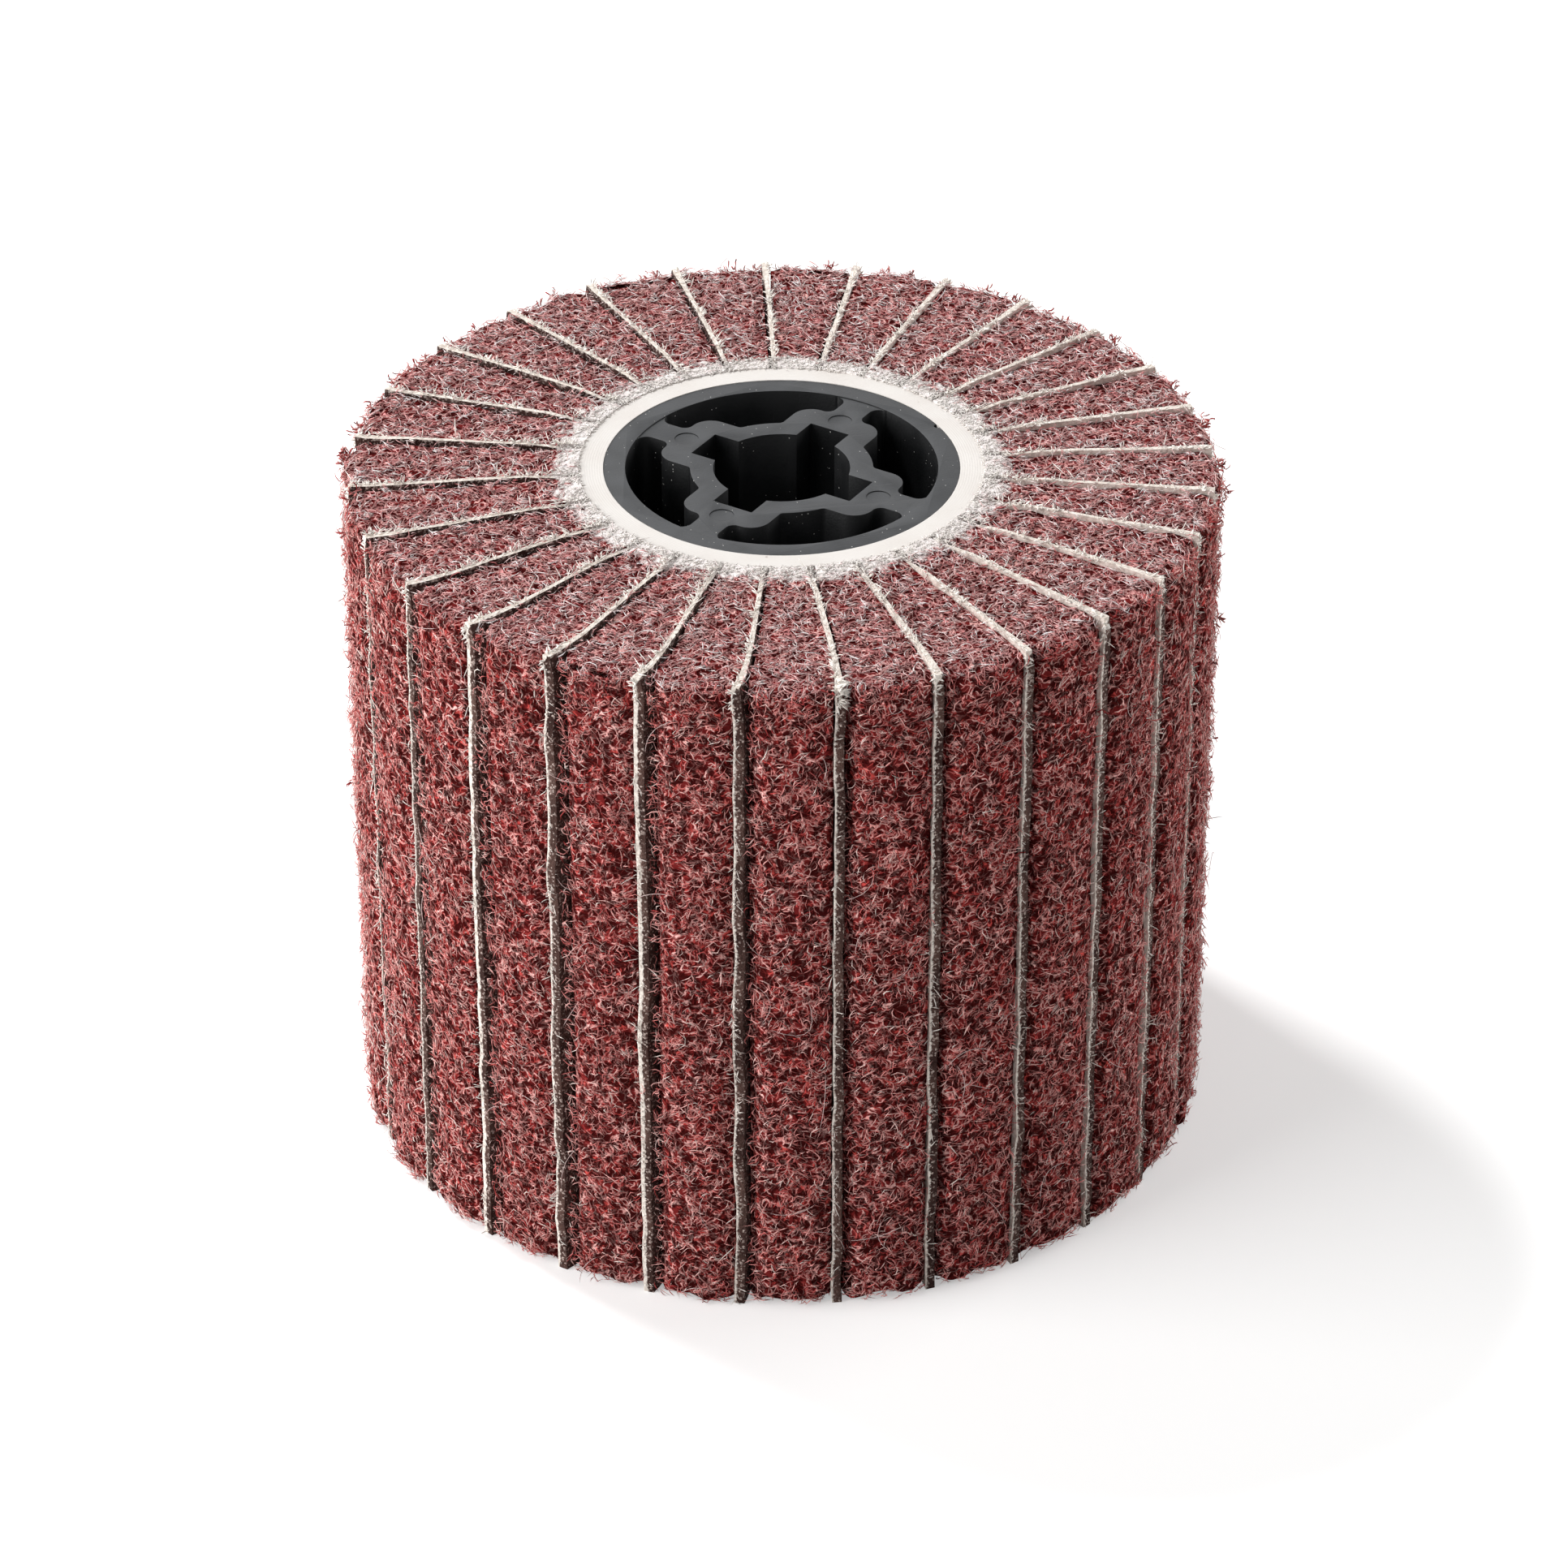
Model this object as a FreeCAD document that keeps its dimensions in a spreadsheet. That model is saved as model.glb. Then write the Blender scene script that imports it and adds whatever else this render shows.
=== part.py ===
import FreeCAD, Part
import math
import os
import Sketcher

# Flap wheel for buffing: flaps of abrasive cloth alternate with flaps of nonwoven web.
# All the flaps stand in a cast ring round a moulded hub with a keyed bore.
# Units are millimetres and degrees. The origin is on the bore axis at the lower end face.

document = FreeCAD.newDocument("FlapWheel")
sheet = document.addObject("Spreadsheet::Sheet", "Sizes")

# Driving dimensions
sizes = [
    ("wheel_radius", 60.0),
    ("wheel_width", 100.0),
    ("flap_count", 28),
    ("first_flap_angle", 17.85),
    ("crowding_once", 3.47),
    ("crowding_once_side", 251.3),
    ("crowding_twice", 0.47),
    ("crowding_twice_side", 19.8),
    ("crowding_thrice", 0.62),
    ("crowding_thrice_side", 82.3),
    ("lean_radius", 48.0),
    ("left_lean", 4.9),
    ("left_lean_side", 146.4),
    ("right_lean", 3.4),
    ("right_lean_side", 8.0),
    ("lean_sharpness", 30),
    ("cloth_thickness", 1.0),
    ("flap_gap", 0.1),
    ("bend_radius", 56.4),
    ("least_tip_bend", 4.0),
    ("extra_tip_bend", 21.0),
    ("tip_bend_side", 222.0),
    ("tip_bend_sharpness", 6),
    ("web_radius", 59.8),
    ("web_edge_rounding", 2.2),
    ("ring_radius", 28.2),
    ("ring_inset", 0.2),
    ("hub_radius", 24.75),
    ("hub_inset", 0.3),
    ("rim_inner_radius", 21.7),
    ("sleeve_radius", 12.7),
    ("sleeve_inset", 0.5),
    ("bore_radius", 9.5),
    ("keyway_width", 6.2),
    ("keyway_reach", 12.85),
    ("keyway_angle", 45.0),
    ("inside_bore", 1.0),
    ("lobe_reach", 16.85),
    ("lobe_width", 13.2),
    ("lobe_rounding", 2.9),
    ("spoke_reach", 23.2),
    ("spoke_width", 4.5),
    ("spoke_count", 4),
    ("rim_corner_rounding", 1.5),
    ("lobe_corner_rounding", 1.3),
    ("sleeve_corner_rounding", 0.8),
    ("pin_mark_radius", 1.7),
    ("pin_mark_reach", 15.6),
    ("pin_mark_depth", 0.15),
    ("nick_radius", 0.5),
    ("nick_depth", 0.4),
    ("nick_reach", 24.6),
    ("nick_angle", 14.3),
]
size = dict(sizes)
for row, (alias, value) in enumerate(sizes, start=1):
    sheet.set(f"A{row}", alias)
    sheet.set(f"B{row}", str(value))
    sheet.setAlias(f"B{row}", alias)
document.recompute()

# Where each flap stands: evenly spaced, then shifted by three waves round the wheel.
# Each flap crosses the lean radius at its flap angle and leans a little from the radius there.
flap_columns = [
    ("even_angle", "Sizes.first_flap_angle + {index} * 360 / Sizes.flap_count"),
    ("flap_angle", "even_angle_{tag}"
                   " + Sizes.crowding_once * cos(even_angle_{tag} - Sizes.crowding_once_side)"
                   " + Sizes.crowding_twice * cos(2 * (even_angle_{tag} - Sizes.crowding_twice_side))"
                   " + Sizes.crowding_thrice * cos(3 * (even_angle_{tag} - Sizes.crowding_thrice_side))"),
    ("lean", "Sizes.left_lean"
             " * ((1 + cos(even_angle_{tag} - Sizes.left_lean_side)) / 2) ^ Sizes.lean_sharpness"
             " - Sizes.right_lean"
             " * ((1 + cos(even_angle_{tag} - Sizes.right_lean_side)) / 2) ^ Sizes.lean_sharpness"),
    ("direction", "flap_angle_{tag} + lean_{tag}"),
    ("offset", "-Sizes.lean_radius * sin(lean_{tag})"),
    ("tip_bend", "Sizes.least_tip_bend + Sizes.extra_tip_bend"
                 " * ((1 + cos(even_angle_{tag} - Sizes.tip_bend_side)) / 2) ^ Sizes.tip_bend_sharpness"),
]
flap_sheet = document.addObject("Spreadsheet::Sheet", "Flaps")
for index in range(size["flap_count"] + 1):
    for column, (name, formula) in zip("ABCDEF", flap_columns):
        tag = f"{index + 1:02d}"
        cell = f"{column}{index + 1}"
        flap_sheet.set(cell, "=" + formula.format(index=index, tag=tag))
        flap_sheet.setAlias(cell, f"{name}_{tag}")
document.recompute()

Z_AXIS = FreeCAD.Vector(0, 0, 1)
ORIGIN = (-1, 1)
X_AXIS_LINE = -1
START = 1
END = 2
CENTRE = 3
NEARLY_ONE = 0.999
CORNER_SEARCH_RADIUS = 1.0
CORNER_RING_TOLERANCE = 0.05


# Helpers for bodies and sketches
def new_body(name):
    body = document.addObject("PartDesign::Body", name)
    body.Label = name
    return body


def origin_feature(body, role):
    return next(item for item in body.Origin.OriginFeatures if item.Role == role)


def new_sketch(body, name, height="0"):
    sketch = body.newObject("Sketcher::SketchObject", name)
    sketch.AttachmentSupport = [(origin_feature(body, "XY_Plane"), "")]
    sketch.MapMode = "FlatFace"
    sketch.setExpression("AttachmentOffset.Base.z", height)
    return sketch


def constrain(sketch, expression, *arguments):
    index = sketch.addConstraint(Sketcher.Constraint(*arguments))
    sketch.setExpression(f"Constraints[{index}]", expression)


def join_in_loop(sketch, edges):
    for (first, first_end), (second, second_start) in edges:
        sketch.addConstraint(Sketcher.Constraint("Coincident", first, first_end, second, second_start))


def add_line(sketch, start, end):
    return sketch.addGeometry(Part.LineSegment(FreeCAD.Vector(*start, 0), FreeCAD.Vector(*end, 0)), False)


def add_arc_about_origin(sketch, start, end):
    radius = math.hypot(*start)
    circle = Part.Circle(FreeCAD.Vector(0, 0, 0), Z_AXIS, radius)
    first_angle = math.atan2(start[1], start[0])
    last_angle = math.atan2(end[1], end[0])
    arc = sketch.addGeometry(Part.ArcOfCircle(circle, first_angle, last_angle), False)
    sketch.addConstraint(Sketcher.Constraint("Coincident", arc, CENTRE, *ORIGIN))
    return arc


def add_centred_circle(sketch, radius_alias):
    radius = size[radius_alias]
    circle = sketch.addGeometry(Part.Circle(FreeCAD.Vector(0, 0, 0), Z_AXIS, radius), False)
    sketch.addConstraint(Sketcher.Constraint("Coincident", circle, CENTRE, *ORIGIN))
    constrain(sketch, f"Sizes.{radius_alias}", "Radius", circle, radius)


def add_circle_on_x(sketch, reach_alias, radius_alias):
    reach = size[reach_alias]
    radius = size[radius_alias]
    circle = sketch.addGeometry(Part.Circle(FreeCAD.Vector(reach, 0, 0), Z_AXIS, radius), False)
    sketch.addConstraint(Sketcher.Constraint("PointOnObject", circle, CENTRE, X_AXIS_LINE))
    constrain(sketch, f"Sizes.{reach_alias}", "DistanceX", *ORIGIN, circle, CENTRE, reach)
    constrain(sketch, f"Sizes.{radius_alias}", "Radius", circle, radius)


def add_bar(sketch, inner_alias, outer_alias, width_alias):
    """A rectangle that lies along the sketch's X axis, centred on it."""
    inner = size[inner_alias]
    outer = size[outer_alias]
    width = size[width_alias]
    half = width / 2
    corners = [(inner, -half), (outer, -half), (outer, half), (inner, half)]
    lines = [add_line(sketch, corners[side], corners[(side + 1) % 4]) for side in range(4)]
    join_in_loop(sketch, [((lines[side], END), (lines[(side + 1) % 4], START)) for side in range(4)])
    for line in (lines[0], lines[2]):
        sketch.addConstraint(Sketcher.Constraint("Horizontal", line))
    sketch.addConstraint(Sketcher.Constraint("Vertical", lines[1]))
    sketch.addConstraint(Sketcher.Constraint("Symmetric", lines[0], START, lines[2], END, X_AXIS_LINE))
    constrain(sketch, f"Sizes.{inner_alias}", "DistanceX", *ORIGIN, lines[0], START, inner)
    constrain(sketch, f"Sizes.{outer_alias}", "DistanceX", *ORIGIN, lines[0], END, outer)
    constrain(sketch, f"Sizes.{width_alias}", "Distance", lines[1], width)


def pad(body, sketch, name, length_expression):
    feature = body.newObject("PartDesign::Pad", name)
    feature.Profile = sketch
    feature.setExpression("Length", length_expression)
    document.recompute()
    return feature


def cut(body, sketch, name, depth_expression=None):
    """A pocket upwards through the whole body, or down from the top face to a depth."""
    volume_before = body.Shape.Volume
    feature = body.newObject("PartDesign::Pocket", name)
    feature.Profile = sketch
    if depth_expression:
        feature.setExpression("Length", depth_expression)
    else:
        feature.Type = "ThroughAll"
        feature.Reversed = True
    document.recompute()
    if body.Shape.Volume >= volume_before:
        raise RuntimeError(f"{name} removed nothing from {body.Label}")
    return feature


def repeat_round_axis(body, features, name, count_expression):
    pattern = body.newObject("PartDesign::PolarPattern", name)
    pattern.Originals = features
    pattern.Axis = (origin_feature(body, "Z_Axis"), [""])
    pattern.Angle = 360
    pattern.setExpression("Occurrences", count_expression)
    body.Tip = pattern
    document.recompute()
    return pattern


def upright_edges(shape, is_wanted):
    """Names of the straight edges along Z whose point (x, y) is wanted."""
    names = []
    for number, edge in enumerate(shape.Edges, start=1):
        is_upright = isinstance(edge.Curve, Part.Line) and abs(edge.Curve.Direction.z) > NEARLY_ONE
        if is_upright and is_wanted((edge.CenterOfMass.x, edge.CenterOfMass.y)):
            names.append(f"Edge{number}")
    return names


def round_edges(body, feature, names, name, radius_expression):
    fillet = body.newObject("PartDesign::Fillet", name)
    fillet.Base = (feature, names)
    fillet.setExpression("Radius", radius_expression)
    document.recompute()
    return fillet


def flap_value(name, number):
    return float(flap_sheet.get(f"{name}_{number:02d}"))


def turn_to_flap(body, number):
    body.Placement = FreeCAD.Placement(FreeCAD.Vector(0, 0, 0), FreeCAD.Rotation(Z_AXIS, 1))
    body.setExpression("Placement.Rotation.Angle", f"Flaps.direction_{number:02d}")


# Cloth flap: a straight sheet whose worn tip bends clockwise
def make_cloth_flap(number):
    tag = f"{number:02d}"
    body = new_body(f"cloth_flap_{tag}")
    turn_to_flap(body, number)
    half = size["cloth_thickness"] / 2
    offset = flap_value("offset", number)
    tip_bend = math.radians(flap_value("tip_bend", number))
    root_x = size["ring_radius"]
    bend_x = size["bend_radius"]
    tip_x = size["wheel_radius"]
    tip_y = offset - (tip_x - bend_x) * math.tan(tip_bend)

    sketch = new_sketch(body, f"cloth_section_{tag}")
    low_side = add_line(sketch, (root_x, offset - half), (bend_x, offset - half))
    low_tip = add_line(sketch, (bend_x, offset - half), (tip_x, tip_y - half))
    end = add_arc_about_origin(sketch, (tip_x, tip_y - half), (tip_x, tip_y + half))
    high_tip = add_line(sketch, (tip_x, tip_y + half), (bend_x, offset + half))
    high_side = add_line(sketch, (bend_x, offset + half), (root_x, offset + half))
    root = add_arc_about_origin(sketch, (root_x, offset - half), (root_x, offset + half))
    join_in_loop(sketch, [
        ((low_side, END), (low_tip, START)),
        ((low_tip, END), (end, START)),
        ((end, END), (high_tip, START)),
        ((high_tip, END), (high_side, START)),
        ((high_side, END), (root, END)),
        ((root, START), (low_side, START)),
    ])
    for line in (low_side, high_side):
        sketch.addConstraint(Sketcher.Constraint("Horizontal", line))
    sketch.addConstraint(Sketcher.Constraint("Parallel", low_tip, high_tip))
    constrain(sketch, "Sizes.ring_radius", "Radius", root, root_x)
    constrain(sketch, "Sizes.wheel_radius", "Radius", end, tip_x)
    constrain(sketch, f"Flaps.offset_{tag} - Sizes.cloth_thickness / 2",
              "DistanceY", *ORIGIN, low_side, END, offset - half)
    constrain(sketch, f"Flaps.offset_{tag} + Sizes.cloth_thickness / 2",
              "DistanceY", *ORIGIN, high_side, START, offset + half)
    constrain(sketch, "Sizes.bend_radius", "DistanceX", *ORIGIN, low_side, END, bend_x)
    constrain(sketch, f"-Flaps.tip_bend_{tag}", "Angle", low_tip, -tip_bend)
    constrain(sketch, "Sizes.cloth_thickness", "Distance", low_tip, START, high_tip, 2 * half)
    pad(body, sketch, f"cloth_sheet_{tag}", "Sizes.wheel_width")
    return body


# Web flap: fills the room from one cloth flap to the next one counter-clockwise
def make_web_flap(number):
    tag = f"{number:02d}"
    next_tag = f"{number + 1:02d}"
    body = new_body(f"web_flap_{tag}")
    turn_to_flap(body, number)
    clear_of_middle = size["cloth_thickness"] / 2 + size["flap_gap"]
    near_y = flap_value("offset", number) + clear_of_middle
    far_offset = flap_value("offset", number + 1) - clear_of_middle
    opening = math.radians(flap_value("direction", number + 1) - flap_value("direction", number))
    tip_bend = math.radians(flap_value("tip_bend", number + 1))
    bend = size["bend_radius"] - size["flap_gap"]

    def beside_next_flap(along, across):
        x = along * math.cos(opening) - across * math.sin(opening)
        y = along * math.sin(opening) + across * math.cos(opening)
        return (x, y)

    tip_length = size["web_radius"] - bend
    root_near = (size["ring_radius"], near_y)
    edge_near = (size["web_radius"], near_y)
    edge_far = beside_next_flap(size["web_radius"], far_offset - tip_length * math.tan(tip_bend))
    bend_far = beside_next_flap(bend, far_offset)
    root_far = beside_next_flap(size["ring_radius"], far_offset)

    sketch = new_sketch(body, f"web_section_{tag}")
    near_side = add_line(sketch, root_near, edge_near)
    edge = add_arc_about_origin(sketch, edge_near, edge_far)
    far_tip = add_line(sketch, edge_far, bend_far)
    far_side = add_line(sketch, bend_far, root_far)
    root = add_arc_about_origin(sketch, root_near, root_far)
    join_in_loop(sketch, [
        ((near_side, END), (edge, START)),
        ((edge, END), (far_tip, START)),
        ((far_tip, END), (far_side, START)),
        ((far_side, END), (root, END)),
        ((root, START), (near_side, START)),
    ])
    sketch.addConstraint(Sketcher.Constraint("Horizontal", near_side))
    constrain(sketch, "Sizes.ring_radius", "Radius", root, size["ring_radius"])
    constrain(sketch, "Sizes.web_radius", "Radius", edge, size["web_radius"])
    opening_formula = f"(Flaps.direction_{next_tag} - Flaps.direction_{tag})"
    clear_formula = "(Sizes.cloth_thickness / 2 + Sizes.flap_gap)"
    along_formula = "(Sizes.bend_radius - Sizes.flap_gap)"
    across_formula = f"(Flaps.offset_{next_tag} - {clear_formula})"
    constrain(sketch, f"Flaps.offset_{tag} + {clear_formula}",
              "DistanceY", *ORIGIN, near_side, END, near_y)
    bend_x_formula = f"{along_formula} * cos({opening_formula}) - {across_formula} * sin({opening_formula})"
    bend_y_formula = f"{along_formula} * sin({opening_formula}) + {across_formula} * cos({opening_formula})"
    constrain(sketch, bend_x_formula, "DistanceX", *ORIGIN, far_side, START, bend_far[0])
    constrain(sketch, bend_y_formula, "DistanceY", *ORIGIN, far_side, START, bend_far[1])
    constrain(sketch, f"{opening_formula} + 180", "Angle", far_side, opening + math.pi)
    constrain(sketch, f"{opening_formula} - Flaps.tip_bend_{next_tag} + 180", "Angle", far_tip,
              opening - tip_bend + math.pi)
    block = pad(body, sketch, f"web_block_{tag}", "Sizes.wheel_width")
    near_edge = upright_edges(block.Shape, lambda point: math.dist(point, edge_near) < CORNER_SEARCH_RADIUS)
    round_edges(body, block, near_edge, f"web_worn_edge_{tag}", "Sizes.web_edge_rounding")
    return body


# Cast ring that grips the flap roots round the hub
def make_core_ring():
    body = new_body("core_ring")
    sketch = new_sketch(body, "ring_section", "Sizes.ring_inset")
    add_centred_circle(sketch, "ring_radius")
    add_centred_circle(sketch, "hub_radius")
    pad(body, sketch, "ring_wall", "Sizes.wheel_width - 2 * Sizes.ring_inset")
    return body


# Hub: rim, sleeve, four lobes and four spokes, moulded as one piece
def make_hub():
    body = new_body("hub")
    body.Placement = FreeCAD.Placement(FreeCAD.Vector(0, 0, 0), FreeCAD.Rotation(Z_AXIS, 1))
    body.setExpression("Placement.Rotation.Angle", "Sizes.keyway_angle")
    sleeve_length = "Sizes.wheel_width - 2 * Sizes.sleeve_inset"

    rim_sketch = new_sketch(body, "rim_section", "Sizes.hub_inset")
    add_centred_circle(rim_sketch, "hub_radius")
    add_centred_circle(rim_sketch, "rim_inner_radius")
    pad(body, rim_sketch, "rim", "Sizes.wheel_width - 2 * Sizes.hub_inset")

    spoke_sketch = new_sketch(body, "spoke_section", "Sizes.sleeve_inset")
    add_bar(spoke_sketch, "bore_radius", "spoke_reach", "spoke_width")
    spoke = pad(body, spoke_sketch, "spoke", sleeve_length)
    repeat_round_axis(body, [spoke], "spokes", "Sizes.spoke_count")

    sleeve_sketch = new_sketch(body, "sleeve_section", "Sizes.sleeve_inset")
    add_centred_circle(sleeve_sketch, "sleeve_radius")
    pad(body, sleeve_sketch, "sleeve", sleeve_length)

    lobe_sketch = new_sketch(body, "lobe_section", "Sizes.sleeve_inset")
    add_bar(lobe_sketch, "inside_bore", "lobe_reach", "lobe_width")
    lobe = pad(body, lobe_sketch, "lobe", sleeve_length)
    shaped = repeat_round_axis(body, [lobe], "lobes", "Sizes.spoke_count")

    corner_rings = [
        ("rounded_lobes", math.hypot(size["lobe_reach"], size["lobe_width"] / 2), "lobe_rounding"),
        ("rim_corners", size["rim_inner_radius"], "rim_corner_rounding"),
        ("lobe_corners", math.hypot(size["lobe_reach"], size["spoke_width"] / 2), "lobe_corner_rounding"),
        ("sleeve_corners", size["sleeve_radius"], "sleeve_corner_rounding"),
    ]
    for name, ring_radius, rounding in corner_rings:
        corners = upright_edges(
            shaped.Shape, lambda point: abs(math.hypot(*point) - ring_radius) < CORNER_RING_TOLERANCE)
        shaped = round_edges(body, shaped, corners, name, f"Sizes.{rounding}")

    bore_sketch = new_sketch(body, "bore_section")
    add_centred_circle(bore_sketch, "bore_radius")
    cut(body, bore_sketch, "bore")

    keyway_sketch = new_sketch(body, "keyway_section")
    add_bar(keyway_sketch, "inside_bore", "keyway_reach", "keyway_width")
    keyway = cut(body, keyway_sketch, "keyway")
    repeat_round_axis(body, [keyway], "keyways", "Sizes.spoke_count")

    mark_sketch = new_sketch(body, "pin_mark_outline", "Sizes.wheel_width - Sizes.sleeve_inset")
    add_circle_on_x(mark_sketch, "pin_mark_reach", "pin_mark_radius")
    mark = cut(body, mark_sketch, "pin_mark", "Sizes.pin_mark_depth")
    repeat_round_axis(body, [mark], "pin_marks", "Sizes.spoke_count")

    nick_sketch = new_sketch(body, "nick_outline", "Sizes.wheel_width - Sizes.hub_inset")
    nick_sketch.AttachmentOffset = FreeCAD.Placement(FreeCAD.Vector(0, 0, 0), FreeCAD.Rotation(Z_AXIS, 1))
    nick_sketch.setExpression("AttachmentOffset.Base.z", "Sizes.wheel_width - Sizes.hub_inset")
    nick_sketch.setExpression("AttachmentOffset.Rotation.Angle",
                              "Sizes.nick_angle - Sizes.keyway_angle + 360")
    add_circle_on_x(nick_sketch, "nick_reach", "nick_radius")
    cut(body, nick_sketch, "nick", "Sizes.nick_depth")
    return body


# The whole wheel
pieces = [make_hub(), make_core_ring()]
for flap_number in range(1, size["flap_count"] + 1):
    pieces.append(make_cloth_flap(flap_number))
    pieces.append(make_web_flap(flap_number))
document.recompute()

for item in document.Objects:
    if "Invalid" in item.State or "Error" in item.State:
        raise RuntimeError(f"{item.Label} failed: {item.State}")
for piece in pieces:
    if piece.Shape.isNull() or not piece.Shape.isValid() or len(piece.Shape.Solids) != 1:
        raise RuntimeError(f"{piece.Label} has no valid solid")

os.makedirs("parts", exist_ok=True)
for piece in pieces:
    piece.Shape.exportStep(f"parts/{piece.Label}.step")
    print(f"{piece.Label}: volume {piece.Shape.Volume:.1f}")
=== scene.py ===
import math

import bpy
import numpy as np
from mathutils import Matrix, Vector, noise


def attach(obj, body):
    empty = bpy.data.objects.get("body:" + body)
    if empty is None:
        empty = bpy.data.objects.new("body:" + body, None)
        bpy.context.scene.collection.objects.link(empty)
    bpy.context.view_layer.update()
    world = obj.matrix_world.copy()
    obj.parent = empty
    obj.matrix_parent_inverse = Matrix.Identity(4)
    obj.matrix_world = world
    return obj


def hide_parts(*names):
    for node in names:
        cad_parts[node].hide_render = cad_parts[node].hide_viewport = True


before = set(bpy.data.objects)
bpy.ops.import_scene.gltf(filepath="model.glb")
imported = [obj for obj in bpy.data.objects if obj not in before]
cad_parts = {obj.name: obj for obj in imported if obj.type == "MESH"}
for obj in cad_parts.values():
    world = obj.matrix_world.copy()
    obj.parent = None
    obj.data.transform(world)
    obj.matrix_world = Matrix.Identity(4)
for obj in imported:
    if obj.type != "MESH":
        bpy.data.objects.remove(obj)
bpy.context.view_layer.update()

# Bench and light
# The wheel stands on a white bench in a white room, lit by a high lamp from behind on the left.
# A wide soft lamp stands on the left and a weaker one on the right. The bench keeps the shadow.
BENCH_SIDE = 6.0
BENCH_WHITE = (0.82, 0.82, 0.815, 1)
BENCH_GLOW = 0.39
ROOM_FILL = 0.20
HIGH_LAMP_FROM = (-0.304, 0.504, 0.809)
HIGH_LAMP_STRENGTH = 2.10
HIGH_LAMP_SPREAD = math.radians(9)
SOFT_LAMP_PLACE = (-1.25, -0.15, 0.55)
SOFT_LAMP_SIDE = 1.1
SOFT_LAMP_POWER = 22.5
SIDE_LAMP_PLACE = (1.20, 0.25, 0.40)
SIDE_LAMP_SIDE = 0.9
SIDE_LAMP_POWER = 10.0
CAMERA_PLACE = (-0.1698, -0.7182, 0.5153)
CAMERA_AIM = (0.1947, 0.8219, -0.5353)
CAMERA_LENS = 140.23
CAMERA_SENSOR = 36


def put_node(tree, kind, inputs=None, **settings):
    """A new node with its settings, and each input given a value or another node's output."""
    node = tree.nodes.new(kind)
    for name, value in settings.items():
        setattr(node, name, value)
    for socket, value in (inputs or {}).items():
        if isinstance(value, bpy.types.NodeSocket):
            tree.links.new(value, node.inputs[socket])
        else:
            node.inputs[socket].default_value = value
    return node


def calculate(tree, operation, first, second=0.0, third=0.0):
    return put_node(tree, "ShaderNodeMath", {0: first, 1: second, 2: third}, operation=operation).outputs[0]


def seen_directly(tree):
    """1 for what the camera sees, straight or in a reflection, and 0 for light that falls on things."""
    path = put_node(tree, "ShaderNodeLightPath").outputs
    mirrored = calculate(tree, "MAXIMUM", path["Is Glossy Ray"], path["Is Transmission Ray"])
    return calculate(tree, "MAXIMUM", path["Is Camera Ray"], mirrored)


bpy.ops.object.select_all(action="DESELECT")
bpy.ops.mesh.primitive_plane_add(size=BENCH_SIDE, location=(0, 0, 0))
bench = bpy.context.object
bench.name = "bench"
bench_paper = bpy.data.materials.new("bench_paper")
bench_paper.use_nodes = True
tree = bench_paper.node_tree
tree.nodes.clear()
paper = put_node(tree, "ShaderNodeBsdfDiffuse", {"Color": BENCH_WHITE})
glow = put_node(tree, "ShaderNodeEmission",
                {"Strength": calculate(tree, "MULTIPLY", seen_directly(tree), BENCH_GLOW)})
both = put_node(tree, "ShaderNodeAddShader", {0: paper.outputs[0], 1: glow.outputs[0]})
put_node(tree, "ShaderNodeOutputMaterial", {"Surface": both.outputs[0]})
bench.data.materials.append(bench_paper)

room = bpy.data.worlds.new("white_room")
bpy.context.scene.world = room
room.use_nodes = True
tree = room.node_tree
tree.nodes.clear()
fill = put_node(tree, "ShaderNodeBackground", {"Color": (1, 1, 1, 1), "Strength": ROOM_FILL})
wall = put_node(tree, "ShaderNodeBackground", {"Color": (1, 1, 1, 1), "Strength": 1.0})
chosen = put_node(tree, "ShaderNodeMixShader",
                  {0: seen_directly(tree), 1: fill.outputs[0], 2: wall.outputs[0]})
put_node(tree, "ShaderNodeOutputWorld", {"Surface": chosen.outputs[0]})

bpy.ops.object.light_add(type="SUN", location=HIGH_LAMP_FROM)
high_lamp = bpy.context.object
high_lamp.rotation_euler = Vector(HIGH_LAMP_FROM).to_track_quat("Z", "Y").to_euler()
high_lamp.data.energy = HIGH_LAMP_STRENGTH
high_lamp.data.angle = HIGH_LAMP_SPREAD
for lamp_place, side, power in ((SOFT_LAMP_PLACE, SOFT_LAMP_SIDE, SOFT_LAMP_POWER),
                                (SIDE_LAMP_PLACE, SIDE_LAMP_SIDE, SIDE_LAMP_POWER)):
    bpy.ops.object.light_add(type="AREA", location=lamp_place)
    lamp = bpy.context.object
    lamp.rotation_euler = Vector(lamp_place).to_track_quat("Z", "Y").to_euler()
    lamp.data.size = side
    lamp.data.energy = power

bpy.ops.object.camera_add(location=CAMERA_PLACE)
camera = bpy.context.object
camera.rotation_euler = Vector(CAMERA_AIM).to_track_quat("-Z", "Y").to_euler()
camera.data.lens = CAMERA_LENS
camera.data.sensor_width = CAMERA_SENSOR
bpy.context.scene.camera = camera
bpy.context.scene.view_settings.view_transform = "Standard"

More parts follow.
